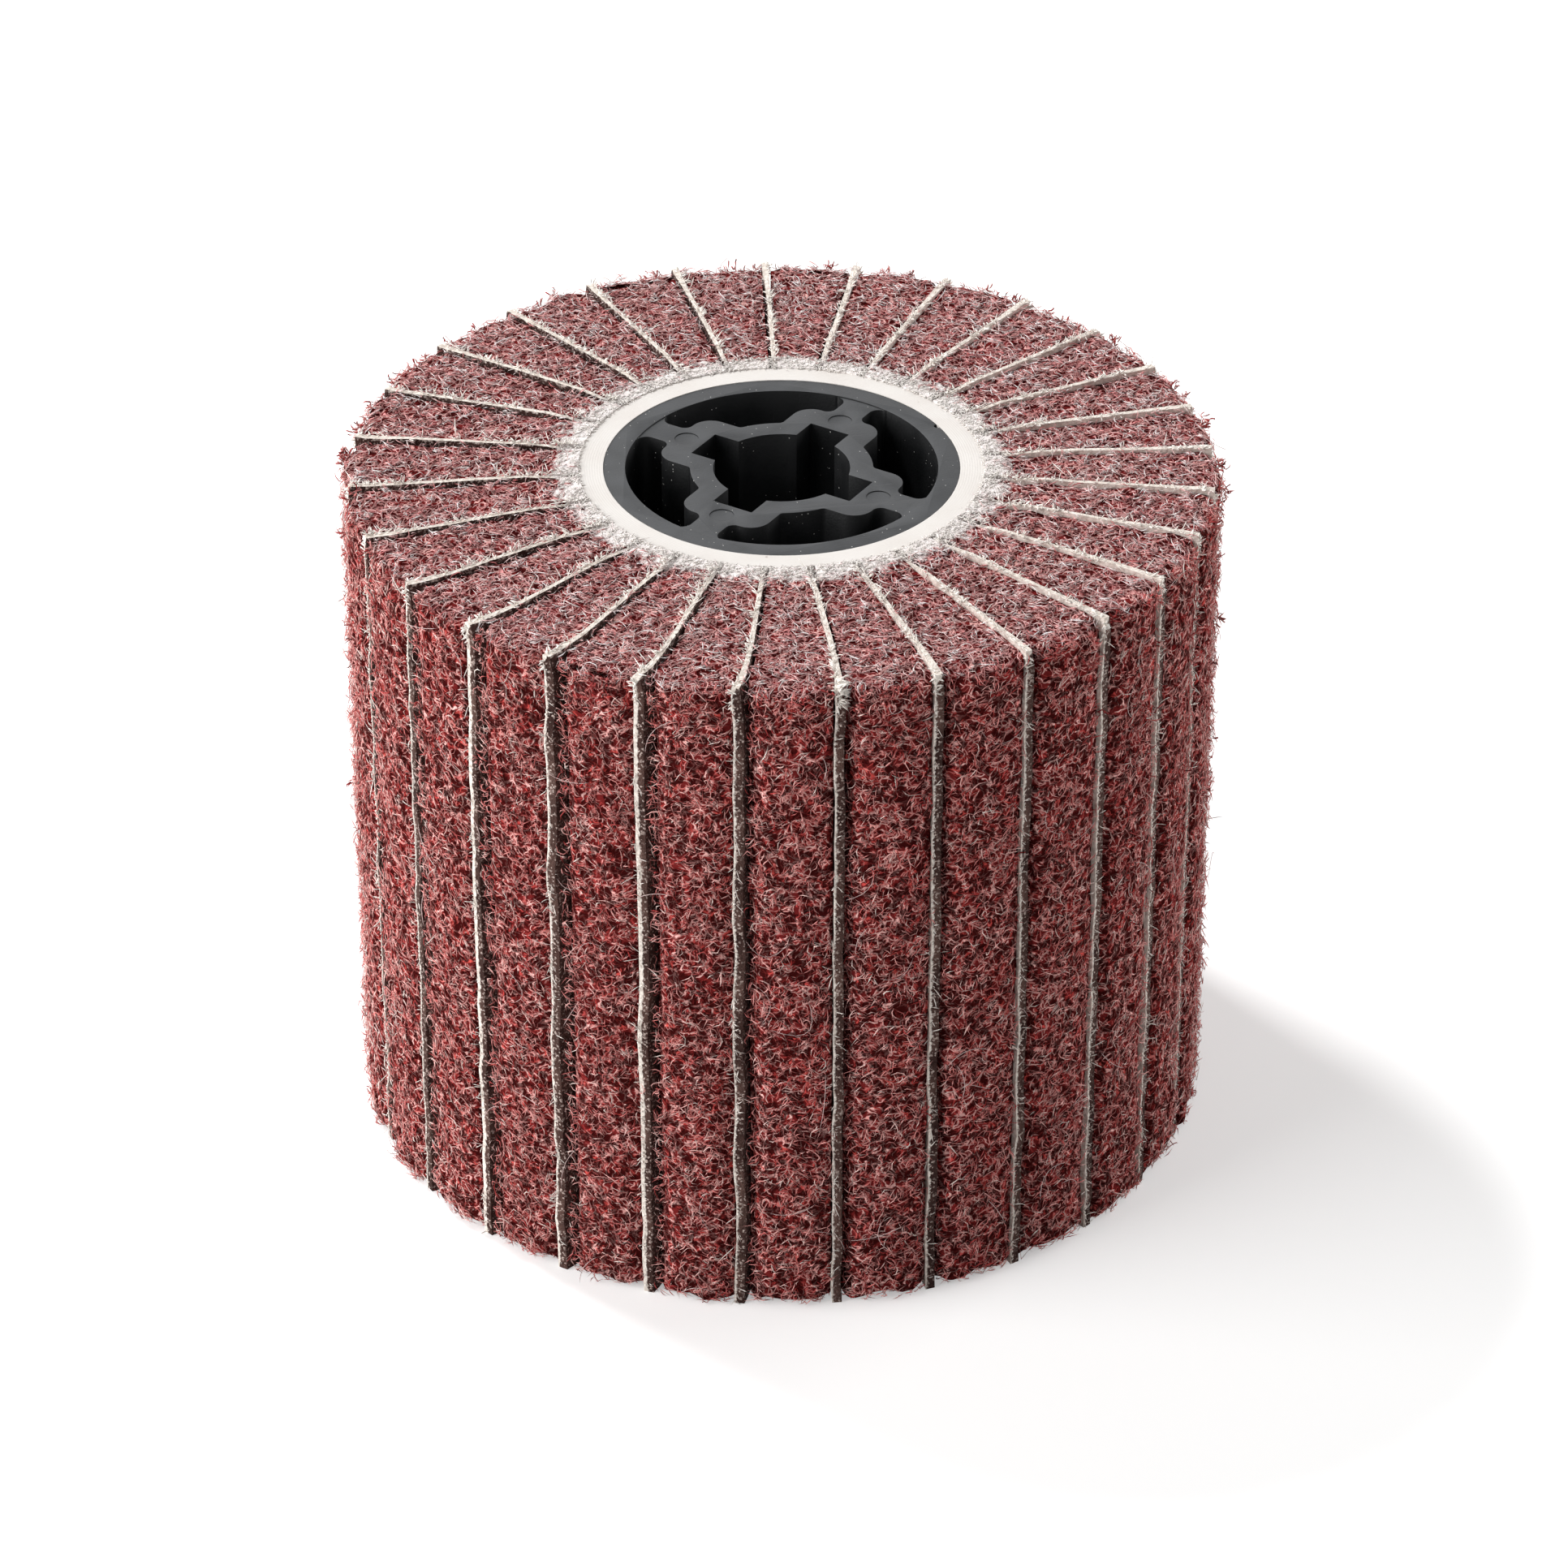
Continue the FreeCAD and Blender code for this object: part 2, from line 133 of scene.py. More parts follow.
# Hub
# One black glass-filled nylon moulding: a rim, a keyed sleeve, four lobes and four spokes.
# Its edges are slightly soft from the mould, and its faces carry dust and fine handling scratches. The grey
# film on its upward faces is dust and painted sheen.
HUB_EDGE_SOFTNESS = 0.00022
HUB_EDGE_ANGLE = math.radians(40)
NYLON_BLACK = (0.004, 0.0043, 0.0048, 1)
NYLON_DUST_AND_SHEEN = (0.097, 0.100, 0.105, 1)
NYLON_DUST_SPECK = (0.55, 0.54, 0.52, 1)
NYLON_RELIEF = 0.00003
HUB_SMOOTH_ANGLE = math.radians(30)
DUSTY_SIDE_BETWEEN = (0.004, -0.018)
SCRATCH_TURN = 0.6
SCRATCH_FINENESS = (160.0, 4200.0, 160.0)
MERGE_DISTANCE = 1e-6
FLAT_ANGLE = math.radians(0.5)


def pick_up(piece):
    bpy.ops.object.select_all(action="DESELECT")
    bpy.context.view_layer.objects.active = piece
    piece.select_set(True)


def merged_copy(node, name):
    """A copy of a CAD node's mesh as a new piece, with its loose triangles merged into clean faces."""
    piece = bpy.data.objects.new(name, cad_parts[node].data.copy())
    bpy.context.scene.collection.objects.link(piece)
    pick_up(piece)
    bpy.ops.object.mode_set(mode="EDIT")
    bpy.ops.mesh.select_all(action="SELECT")
    bpy.ops.mesh.remove_doubles(threshold=MERGE_DISTANCE)
    bpy.ops.mesh.dissolve_limited(angle_limit=FLAT_ANGLE)
    bpy.ops.object.mode_set(mode="OBJECT")
    piece.data.materials.clear()
    return piece


def new_finish(name):
    finish = bpy.data.materials.new(name)
    finish.use_nodes = True
    return finish, finish.node_tree, finish.node_tree.nodes["Principled BSDF"]


def own_place(tree):
    """Where on the piece a point of its surface is."""
    return put_node(tree, "ShaderNodeTexCoord").outputs["Object"]


def noise_field(tree, place, fineness, detail=2.0):
    """Cloudy unevenness from 0 to 1."""
    return put_node(tree, "ShaderNodeTexNoise",
                    {"Vector": place, "Scale": fineness, "Detail": detail}).outputs[0]


def cell_field(tree, place, fineness):
    """A pattern of random cells: the distance from a cell's middle, and a colour for each cell."""
    return put_node(tree, "ShaderNodeTexVoronoi", {"Vector": place, "Scale": fineness}).outputs


def cell_chance(tree, cells):
    """A random value from 0 to 1 for each cell."""
    return put_node(tree, "ShaderNodeSeparateColor", {"Color": cells["Color"]}).outputs[0]


def part_of(tree, vector, axis):
    return put_node(tree, "ShaderNodeSeparateXYZ", {0: vector}).outputs[axis]


def upward_facing(tree):
    """1 on faces that look up, 0 on upright ones and -1 on those that look down."""
    return part_of(tree, put_node(tree, "ShaderNodeNewGeometry").outputs["Normal"], 2)


def blend_colours(tree, share, first, second, blend="MIX"):
    """The first colour where share is 0 and the second where it is 1."""
    return put_node(tree, "ShaderNodeMix", {0: share, 6: first, 7: second},
                    data_type="RGBA", blend_type=blend).outputs[2]


def spread(tree, value, low, high, to_low=0.0, to_high=1.0):
    """The value's range from low to high, stretched to the range from to_low to to_high."""
    return put_node(tree, "ShaderNodeMapRange", {"Value": value, "From Min": low, "From Max": high,
                                                 "To Min": to_low, "To Max": to_high}).outputs[0]


def finish_with(tree, shader, colour, roughness, height, depth):
    tree.links.new(colour, shader.inputs["Base Color"])
    tree.links.new(roughness, shader.inputs["Roughness"])
    bump = put_node(tree, "ShaderNodeBump", {"Height": height, "Distance": depth})
    tree.links.new(bump.outputs[0], shader.inputs["Normal"])


hub = merged_copy("hub", "hub_moulding")
softened = hub.modifiers.new("soft_edges", "BEVEL")
softened.width = HUB_EDGE_SOFTNESS
softened.segments = 2
softened.limit_method = "ANGLE"
softened.angle_limit = HUB_EDGE_ANGLE
bpy.ops.object.modifier_apply(modifier="soft_edges")
bpy.ops.object.shade_smooth_by_angle(angle=HUB_SMOOTH_ANGLE)

nylon, tree, shader = new_finish("black_nylon")
place = own_place(tree)
cloudy = noise_field(tree, place, 260.0, 6.0)
grain = noise_field(tree, place, 2600.0, 3.0)
cells = cell_field(tree, place, 1200.0)
enough = spread(tree, noise_field(tree, place, 110.0), 0.35, 0.65, 0.97, 0.60)
on_left = spread(tree, part_of(tree, place, 0), *DUSTY_SIDE_BETWEEN)
enough = calculate(tree, "MULTIPLY_ADD", on_left, -0.30, enough)
has_speck = calculate(tree, "GREATER_THAN", cell_chance(tree, cells), enough)
specks = calculate(tree, "MULTIPLY", spread(tree, cells["Distance"], 0.125, 0.07), has_speck)
streak_place = put_node(tree, "ShaderNodeMapping", {"Vector": place, "Rotation": (0, 0, SCRATCH_TURN),
                                                    "Scale": SCRATCH_FINENESS}).outputs[0]
scratches = spread(tree, noise_field(tree, streak_place, 1.0), 0.66, 0.74)
# Upward faces are painted grey: dust, and painted sheen where the high lamp glances off them.
lies_flat = spread(tree, upward_facing(tree), 0.5, 0.9)
dust_and_sheen_film = spread(tree, cloudy, 0.30, 0.75, 0.42, 0.72)
marks = calculate(tree, "MAXIMUM", dust_and_sheen_film, calculate(tree, "MULTIPLY", scratches, 0.8))
dust_and_sheen = blend_colours(tree, calculate(tree, "MULTIPLY", marks, lies_flat), NYLON_BLACK, NYLON_DUST_AND_SHEEN)
colour = blend_colours(tree, specks, dust_and_sheen, NYLON_DUST_SPECK)
height = calculate(tree, "SUBTRACT", calculate(tree, "ADD", grain, specks), scratches)
finish_with(tree, shader, colour, spread(tree, cloudy, 0.3, 0.7, 0.42, 0.60), height, NYLON_RELIEF)
shader.inputs["Specular IOR Level"].default_value = 0.25
hub.data.materials.append(nylon)
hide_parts("hub")
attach(hub, "root")

# Core ring
# Off-white resin cast round the hub, which grips the roots of all the flaps.
# Its end face was turned flat after casting, so it has fine rings and a few pinholes.
RESIN_WHITE = (0.745, 0.710, 0.675, 1)
RESIN_SHADE = (0.67, 0.62, 0.58, 1)
RESIN_PINHOLE = (0.50, 0.44, 0.40, 1)
RESIN_RELIEF = 0.00003

resin, tree, shader = new_finish("cast_resin")
place = own_place(tree)
cloudy = noise_field(tree, place, 180.0, 5.0)
grain = noise_field(tree, place, 1900.0, 3.0)
turning = put_node(tree, "ShaderNodeTexWave",
                   {"Vector": place, "Scale": 900.0, "Distortion": 1.5, "Detail": 2.0, "Detail Scale": 0.4},
                   wave_type="RINGS", rings_direction="Z").outputs["Fac"]
cells = cell_field(tree, place, 520.0)
pinholes = calculate(tree, "MULTIPLY", spread(tree, cells["Distance"], 0.12, 0.06),
                     calculate(tree, "GREATER_THAN", cell_chance(tree, cells), 0.93))
shaded = blend_colours(tree, spread(tree, cloudy, 0.35, 0.7, 0.0, 0.6), RESIN_WHITE, RESIN_SHADE)
colour = blend_colours(tree, pinholes, shaded, RESIN_PINHOLE)
surface = calculate(tree, "ADD", calculate(tree, "MULTIPLY", turning, 0.35), grain)
height = calculate(tree, "SUBTRACT", surface, calculate(tree, "MULTIPLY", pinholes, 2.0))
finish_with(tree, shader, colour, spread(tree, cloudy, 0.3, 0.7, 0.50, 0.68), height, RESIN_RELIEF)
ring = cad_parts["core_ring"]
ring.material_slots[0].material = resin

# Cloth flaps
# Each is a sheet of cotton cloth with abrasive grain bonded to its counter-clockwise face.
# The cut edges show a rope of cream yarn ends beside the dark grain, and they fray into short hairs.
FLAP_COUNT = 28
CLOTH_SEED = 500
CLOTH_LENGTH = 0.100
CLOTH_ROWS = 36
CLOTH_COLUMNS = 6
CLOTH_CUTS_BETWEEN = (0.030, 0.0585)
LOW_END = 0.0001
ROOT_WITHIN = 0.030
BEND_BETWEEN = (0.050, 0.058)
TIP_BEYOND = 0.0595
LEAN_BEGINS = 0.0490
LEVEL_TOLERANCE = 0.00001
BEND_TOLERANCE = 0.0002
GRAIN_COAT = 0.00035
GRAIN_COAT_RAMP = (0.052, 0.006)
WEAR_WAVINESS = 0.00036
LOOSE_FROM = 0.045
LOOSE_RUN = 0.015
TIP_IS_LOOSE = 0.95
TIP_BITES = 0.00035
TIP_BITES_BETWEEN = (0.0001, 0.0999)
TOP_EDGE_RISE = 0.00016
ROOT_EDGE_SINK = 0.0006
RISE_RAMP = (0.0295, 0.0035)
TOP_EDGE_WEAR = 0.00036
TOP_WEAR_BETWEEN = (0.0990, 0.0999)
YARN_PITCH = 0.00070
YARN_HALF_LENGTH = 0.00017
YARN_HALF_THICKNESS = 0.00018
YARN_LEAN = 0.75
YARN_LEAN_SPREAD = 0.35
YARN_STANDS_OUT = 0.00007
YARN_STRAYS_ALONG = 0.00014
TOP_YARNS_BETWEEN = (0.0300, 0.0596)
TOP_YARN_HEIGHT = 0.10015
LOW_YARN_HEIGHT = 0.00030
LOWEST_YARN = 0.00025
HIGHEST_YARN = 0.1002
TOP_YARNS_LEFT = 0.38
END_YARN_SLIMNESS = 0.66
SIDE_YARNS_BETWEEN = (0.0006, 0.0996)
SIDE_YARN_SINK = 0.0001
ROPE_OFFSET = 0.00034
YARN_SOAKED_WITHIN = 0.0316
YARN_SOAK_FADE = 0.0012
HAIRS_ON_END = 60
HAIRS_ON_SIDE = 60
HAIR_TUFTS = 18
HAIRS_IN_TUFT = 5
HAIR_LENGTH = 0.0010
HAIR_LENGTH_SPREAD = 0.45
HAIR_THICKNESS = 0.000065
HAIR_SINK = 0.0001
LOWEST_HAIR = 0.00006
HIGHEST_THREAD = 0.1016
NEIGHBOURS = (-2, 3)
SPLIT_ENDS = 5
THREADS_IN_SPLIT = 7
SPLIT_LENGTH = (0.0006, 0.0012)
SPLIT_THICKNESS = 0.00013
LOWEST_SPLIT = 0.00022
FLUFFY_CORNER = 20
FLUFFY_SPLITS = 3
FLUFFY_LEAN = 1.3
FLUFFY_LENGTHENING = 0.9
YARN_CREAM = np.array([0.95, 0.90, 0.84])
YARN_GREY = np.array([0.66, 0.57, 0.51])
YARN_SOAKED = np.array([0.90, 0.84, 0.82])
YARN_RELIEF = 0.00003
CLOTH_CREAM = (0.86, 0.79, 0.72, 1)
CLOTH_SHADE = (0.60, 0.52, 0.46, 1)
CLOTH_SOAKED = (0.86, 0.79, 0.775, 1)
CLOTH_RELIEF = 0.00016
GRAIN_DARK = (0.030, 0.013, 0.011, 1)
GRAIN_BROWN = (0.135, 0.078, 0.065, 1)
GRAIN_PALE = (0.62, 0.50, 0.45, 1)
SOAK_RAGGEDNESS = 0.0060
SOAK_EDGE_BETWEEN = (0.0378, 0.0364)


def unit(vectors):
    return vectors / np.maximum(np.linalg.norm(vectors, axis=-1, keepdims=True), 1e-12)


def ramp(value, start, run):
    """From 0 at the start to 1 at the end of the run."""
    return np.clip((value - start) / run, 0, 1)


def read_flap_line(number):
    """Root, bend and tip of a cloth flap's middle line, read from its CAD solid's lower end."""
    corners = np.array([corner.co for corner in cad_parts[f"cloth_flap_{number:02d}"].data.vertices])
    low = np.unique(np.round(corners[corners[:, 2] < LOW_END][:, :2], 7), axis=0)
    reach = np.hypot(low[:, 0], low[:, 1])
    root = low[reach < ROOT_WITHIN].mean(axis=0)
    bend = low[(reach > BEND_BETWEEN[0]) & (reach < BEND_BETWEEN[1])].mean(axis=0)
    tip = low[reach > TIP_BEYOND].mean(axis=0)
    line = {"root": root, "bend": bend, "tip": tip}
    line["along"], line["tip_along"] = unit(bend - root), unit(tip - bend)
    line["across"] = np.array([-line["along"][1], line["along"][0]])
    line["lean"] = (tip - bend) @ line["across"]
    line["tip_reach"], line["bend_reach"] = np.linalg.norm(tip), np.linalg.norm(bend)
    return line


def soft_lean(line, reach):
    """How far the soft curve of a flap's worn tip lies from the straight line of its root."""
    return line["lean"] * ramp(reach, LEAN_BEGINS, line["tip_reach"] - LEAN_BEGINS) ** 2


def from_fold_to_curve(line, reach):
    """How far a point moves across when the solid's sharp fold becomes the soft curve."""
    folded = line["lean"] * ramp(reach, line["bend_reach"], line["tip_reach"] - line["bend_reach"])
    return soft_lean(line, reach) - folded


def point_on_flap(line, reach):
    """Points of a flap's middle line at these distances from the wheel's axis."""
    reach = np.asarray(reach, dtype=float)[:, None]
    lead = line["root"] @ line["along"]
    travel = np.sqrt(lead ** 2 - line["root"] @ line["root"] + reach ** 2) - lead
    return line["root"] + travel * line["along"] + soft_lean(line, reach) * line["across"]


def thread_mesh(centres, thickness, lift, sides):
    """Closed threads, pointed at both ends. centres has one row of stations for each thread."""
    count, stations = centres.shape[:2]
    inner = stations - 2
    way = unit(centres[:, 2:] - centres[:, :-2])
    side = unit(np.cross(way, lift[:, None, :]))
    rise = np.cross(side, way)
    corners = [centres[:, 1:-1] + thickness[:, None, None] * (math.cos(turn) * rise + math.sin(turn) * side)
               for turn in np.arange(sides) * math.tau / sides]
    rings = np.stack(corners, axis=2).reshape(count, inner * sides, 3)
    points = np.concatenate([centres[:, :1], rings, centres[:, -1:]], axis=1)
    end = 1 + inner * sides
    faces = []
    for corner in range(sides):
        beside = (corner + 1) % sides
        faces.append((0, 1 + beside, 1 + corner))
        last = end - sides
        faces.append((last + corner, last + beside, end))
        for ring_start in range(1, last, sides):
            low, low_beside = ring_start + corner, ring_start + beside
            high, high_beside = low + sides, low_beside + sides
            faces.append((low, low_beside, high_beside))
            faces.append((low, high_beside, high))
    size = end + 1
    every_face = (np.arange(count)[:, None, None] * size + np.array(faces)[None]).reshape(-1, 3)
    return points.reshape(-1, 3), every_face, size


def thread_piece(name, batches, finish):
    """One piece from batches of threads, each batch with its own colour for each thread."""
    points, faces, colours = [], [], []
    start = 0
    for centres, thickness, lift, sides, colour in batches:
        some_points, some_faces, size = thread_mesh(centres, thickness, lift, sides)
        points.append(some_points)
        faces.append(some_faces + start)
        colours.append(np.repeat(colour, size, axis=0))
        start += len(some_points)
    points, faces, colours = np.concatenate(points), np.concatenate(faces), np.concatenate(colours)
    mesh = bpy.data.meshes.new(name)
    mesh.vertices.add(len(points))
    mesh.vertices.foreach_set("co", points.astype(np.float32).ravel())
    mesh.loops.add(faces.size)
    mesh.loops.foreach_set("vertex_index", faces.astype(np.int32).ravel())
    mesh.polygons.add(len(faces))
    mesh.polygons.foreach_set("loop_start", np.arange(0, faces.size, 3, dtype=np.int32))
    mesh.polygons.foreach_set("use_smooth", np.ones(len(faces), dtype=bool))
    mesh.update(calc_edges=True)
    shades = mesh.attributes.new("thread_colour", "FLOAT_COLOR", "POINT")
    shades.data.foreach_set("color", np.c_[colours, np.ones(len(colours))].astype(np.float32).ravel())
    mesh.materials.append(finish)
    piece = bpy.data.objects.new(name, mesh)
    bpy.context.scene.collection.objects.link(piece)
    return piece


def join_pieces(main, others):
    pick_up(main)
    for other in others:
        other.select_set(True)
    bpy.ops.object.join()


def cut_level(piece, levels, point_at, facing):
    """Cuts a piece's faces along flat levels, so that it can bend and wear there."""
    pick_up(piece)
    bpy.ops.object.mode_set(mode="EDIT")
    for level in levels:
        bpy.ops.mesh.select_all(action="SELECT")
        bpy.ops.mesh.bisect(plane_co=point_at(level), plane_no=facing)
    bpy.ops.object.mode_set(mode="OBJECT")


def ease_flat(piece):
    """Takes the cuts back out of faces that stayed flat."""
    pick_up(piece)
    bpy.ops.object.mode_set(mode="EDIT")
    bpy.ops.mesh.select_all(action="SELECT")
    bpy.ops.mesh.dissolve_limited(angle_limit=FLAT_ANGLE)
    bpy.ops.object.mode_set(mode="OBJECT")


def waver(x, y, z, fineness, seed):
    """Smooth unevenness from -1 to 1 at a place, the same for every run."""
    return noise.noise((x * fineness + seed * 7.3, y * fineness - seed * 3.1, z * fineness + seed))


def new_effect(name, inputs, outputs):
    """A node group with these named inputs and outputs. Gives it and the sockets it is given."""
    group = bpy.data.node_groups.new(name, "ShaderNodeTree")
    for title, kind, start in inputs:
        socket = group.interface.new_socket(name=title, in_out="INPUT", socket_type=kind)
        if start is not None:
            socket.default_value = start
    for title, kind in outputs:
        group.interface.new_socket(name=title, in_out="OUTPUT", socket_type=kind)
    return group, put_node(group, "NodeGroupInput").outputs


def build_resin_soak():
    """1 where the casting resin has soaked the flaps near the ring, with a ragged edge."""
    group, given = new_effect("resin_soak", [("Place", "NodeSocketVector", None)],
                              [("Soaked", "NodeSocketFloat")])
    place = given["Place"]
    flat = put_node(group, "ShaderNodeVectorMath", {0: place, 1: (1, 1, 0)}, operation="MULTIPLY").outputs[0]
    reach = put_node(group, "ShaderNodeVectorMath", {0: flat}, operation="LENGTH").outputs["Value"]
    edge = calculate(group, "MULTIPLY_ADD", noise_field(group, place, 900.0, 5.0), SOAK_RAGGEDNESS, reach)
    edge = calculate(group, "MULTIPLY_ADD", noise_field(group, place, 330.0), SOAK_RAGGEDNESS, edge)
    put_node(group, "NodeGroupOutput", {"Soaked": spread(group, edge, *SOAK_EDGE_BETWEEN)})
    return group


resin_soak = build_resin_soak()


def soaked_at(tree, place):
    return put_node(tree, "ShaderNodeGroup", {"Place": place}, node_tree=resin_soak).outputs["Soaked"]


def end_share(tree):
    """1 on faces that look up or down and 0 on upright ones."""
    return spread(tree, calculate(tree, "ABSOLUTE", upward_facing(tree)), 0.5, 0.95)


abrasive, tree, shader = new_finish("abrasive_cloth")
place = own_place(tree)
across = put_node(tree, "ShaderNodeAttribute", attribute_name="across").outputs["Fac"]
ragged = noise_field(tree, place, 1500.0, 3.0)
patches = noise_field(tree, place, 140.0, 4.0)
grit = cell_field(tree, place, 3600.0)
weave = cell_field(tree, place, 1500.0)["Distance"]
ragged_across = calculate(tree, "MULTIPLY_ADD", ragged, 0.7, across)
end_shift = calculate(tree, "MULTIPLY", end_share(tree), calculate(tree, "SUBTRACT", ragged, 0.72))
worn_top = spread(tree, part_of(tree, place, 2), *TOP_WEAR_BETWEEN)
ragged_across = calculate(tree, "MULTIPLY_ADD", worn_top, -0.74, ragged_across)
grain_side = spread(tree, calculate(tree, "ADD", ragged_across, end_shift), 0.46, 0.62)
grain_low = blend_colours(tree, spread(tree, patches, 0.35, 0.65), GRAIN_DARK, GRAIN_BROWN)
pale_grit = spread(tree, cell_chance(tree, grit), 0.76, 0.96, 0.0, 0.9)
grain_mixed = blend_colours(tree, pale_grit, grain_low, GRAIN_PALE)
# The grain is painted darker towards and over the grain face: painted shade of the face that sits in the
# groove by the web.
grain_in_painted_shade = blend_colours(tree, spread(tree, across, 0.35, 1.0, 0.0, 0.5), grain_mixed, GRAIN_DARK)
cotton = blend_colours(tree, spread(tree, weave, 0.35, 0.9), CLOTH_CREAM, CLOTH_SHADE)
colour = blend_colours(tree, grain_side, cotton, grain_in_painted_shade)
colour = blend_colours(tree, soaked_at(tree, place), colour, CLOTH_SOAKED)
height = calculate(tree, "ADD", calculate(tree, "MULTIPLY", grit["Distance"], -1.0),
                   calculate(tree, "MULTIPLY", ragged, 0.8))
height = calculate(tree, "MULTIPLY", height, spread(tree, grain_side, 0.0, 1.0, 0.35, 1.0))
finish_with(tree, shader, colour, spread(tree, patches, 0.3, 0.7, 0.72, 0.9), height, CLOTH_RELIEF)
shader.inputs["Specular IOR Level"].default_value = 0.08

yarn, tree, shader = new_finish("cotton_yarn")
dyed = put_node(tree, "ShaderNodeAttribute", attribute_name="thread_colour").outputs["Color"]
twist = noise_field(tree, own_place(tree), 4200.0, 3.0)
worn = blend_colours(tree, spread(tree, twist, 0.52, 0.8, 0.0, 0.35), dyed, CLOTH_SHADE)
finish_with(tree, shader, worn, spread(tree, twist, 0.3, 0.7, 0.75, 0.95), twist, YARN_RELIEF)
shader.inputs["Specular IOR Level"].default_value = 0.25

flap_lines = [read_flap_line(number) for number in range(1, FLAP_COUNT + 1)]


def sway(number, height):
    """How far the worn edge of a cloth flap sways from straight at this height."""
    fine = waver(0, number, height, 560.0, 2)
    return WEAR_WAVINESS * (waver(number, 0, height, 130.0, number) + 0.45 * fine)


def wear_cloth(cloth, number, line):
    """Bends and wears a flap's sheet. Gives 1 for each corner on its grain side and 0 for the others."""
    side_of_cloth = []
    for corner in cloth.data.vertices:
        flat = np.array(corner.co[:2])
        reach = np.linalg.norm(flat)
        start, way = ((line["root"], line["along"]) if reach < line["bend_reach"] + BEND_TOLERANCE
                      else (line["bend"], line["tip_along"]))
        on_grain = way[0] * (flat[1] - start[1]) - way[1] * (flat[0] - start[0]) > 0
        on_top = corner.co.z > CLOTH_LENGTH - LEVEL_TOLERANCE
        side_of_cloth.append(1.0 if on_grain else 0.0)
        loose = max(0.0, (reach - LOOSE_FROM) / LOOSE_RUN) ** 2
        coat = GRAIN_COAT * ramp(reach, *GRAIN_COAT_RAMP) if on_grain else 0.0
        shift = loose * sway(number, corner.co.z) + coat
        shift += from_fold_to_curve(line, reach)
        if on_grain and on_top:
            shift -= TOP_EDGE_WEAR
        corner.co.x += line["across"][0] * shift
        corner.co.y += line["across"][1] * shift
        if on_top:
            stands = ramp(reach, *RISE_RAMP)
            rise = TOP_EDGE_RISE * (1 + waver(flat[0], flat[1], number, 300.0, number))
            corner.co.z += rise * stands - ROOT_EDGE_SINK * (1 - stands)
        if loose > TIP_IS_LOOSE and TIP_BITES_BETWEEN[0] < corner.co.z < TIP_BITES_BETWEEN[1]:
            bite = TIP_BITES * waver(0, number, corner.co.z, 420.0, number)
            corner.co.x += line["along"][0] * bite
            corner.co.y += line["along"][1] * bite
    return side_of_cloth


def yarn_rope(number, line, chance):
    """The rope of yarn ends along a flap's cut edges. Gives it and the edge that it lies on."""
    on_top = point_on_flap(line, np.arange(*TOP_YARNS_BETWEEN, YARN_PITCH))
    side_height = np.arange(*SIDE_YARNS_BETWEEN, YARN_PITCH)
    end_count = len(on_top)
    tip = np.repeat(line["tip"][None] - SIDE_YARN_SINK * line["tip_along"], len(side_height), axis=0)
    middles = np.concatenate([np.c_[on_top, np.full(end_count, TOP_YARN_HEIGHT)],
                              np.c_[on_top, np.full(end_count, LOW_YARN_HEIGHT)],
                              np.c_[tip, side_height]])
    count = len(middles)
    along = np.array([*line["along"], 0.0])
    across = np.array([*line["across"], 0.0])
    upright = np.array([0.0, 0.0, 1.0])
    is_side = np.arange(count) >= 2 * end_count
    is_low = (np.arange(count) >= end_count) & ~is_side
    outward = np.where(is_side[:, None], along, upright)
    outward = np.where(is_low[:, None], -upright, outward)
    edge_way = np.where(is_side[:, None], upright, along)
    swaying = np.array([sway(number, spot[2]) if side else 0.0 for spot, side in zip(middles, is_side)])
    middles = middles + across * (swaying - ROPE_OFFSET)[:, None]
    middles = middles + outward * chance.normal(0, YARN_STANDS_OUT, (count, 1))
    lean = unit(across + edge_way * (YARN_LEAN + chance.normal(0, YARN_LEAN_SPREAD, (count, 1))))
    middles = middles + edge_way * chance.normal(0, YARN_STRAYS_ALONG, (count, 1))
    middles[:, 2] = np.clip(middles[:, 2], LOWEST_YARN, HIGHEST_YARN)
    slimness = np.where(is_side, 1.0, END_YARN_SLIMNESS)
    half = YARN_HALF_LENGTH * chance.uniform(0.7, 1.3, (count, 1)) * slimness[:, None]
    stations = np.stack([middles + lean * half * step for step in (-1.0, -0.55, 0.55, 1.0)], axis=1)
    tone = np.clip(chance.normal(0.12, 0.25, (count, 1)), 0, 1)
    colour = YARN_CREAM * (1 - tone) + YARN_GREY * tone
    reach = np.hypot(middles[:, 0], middles[:, 1])[:, None]
    soaked = np.clip((YARN_SOAKED_WITHIN - reach) / YARN_SOAK_FADE, 0, 1)
    colour = colour * (1 - soaked) + YARN_SOAKED * soaked
    thickness = YARN_HALF_THICKNESS * chance.uniform(0.75, 1.2, count) * slimness
    left = is_side | (chance.uniform(0, 1, count) < TOP_YARNS_LEFT)
    edge = {"spots": middles, "outward": outward, "way": edge_way, "across": across, "end_count": end_count}
    return (stations[left], thickness[left], outward[left], 4, colour[left]), edge


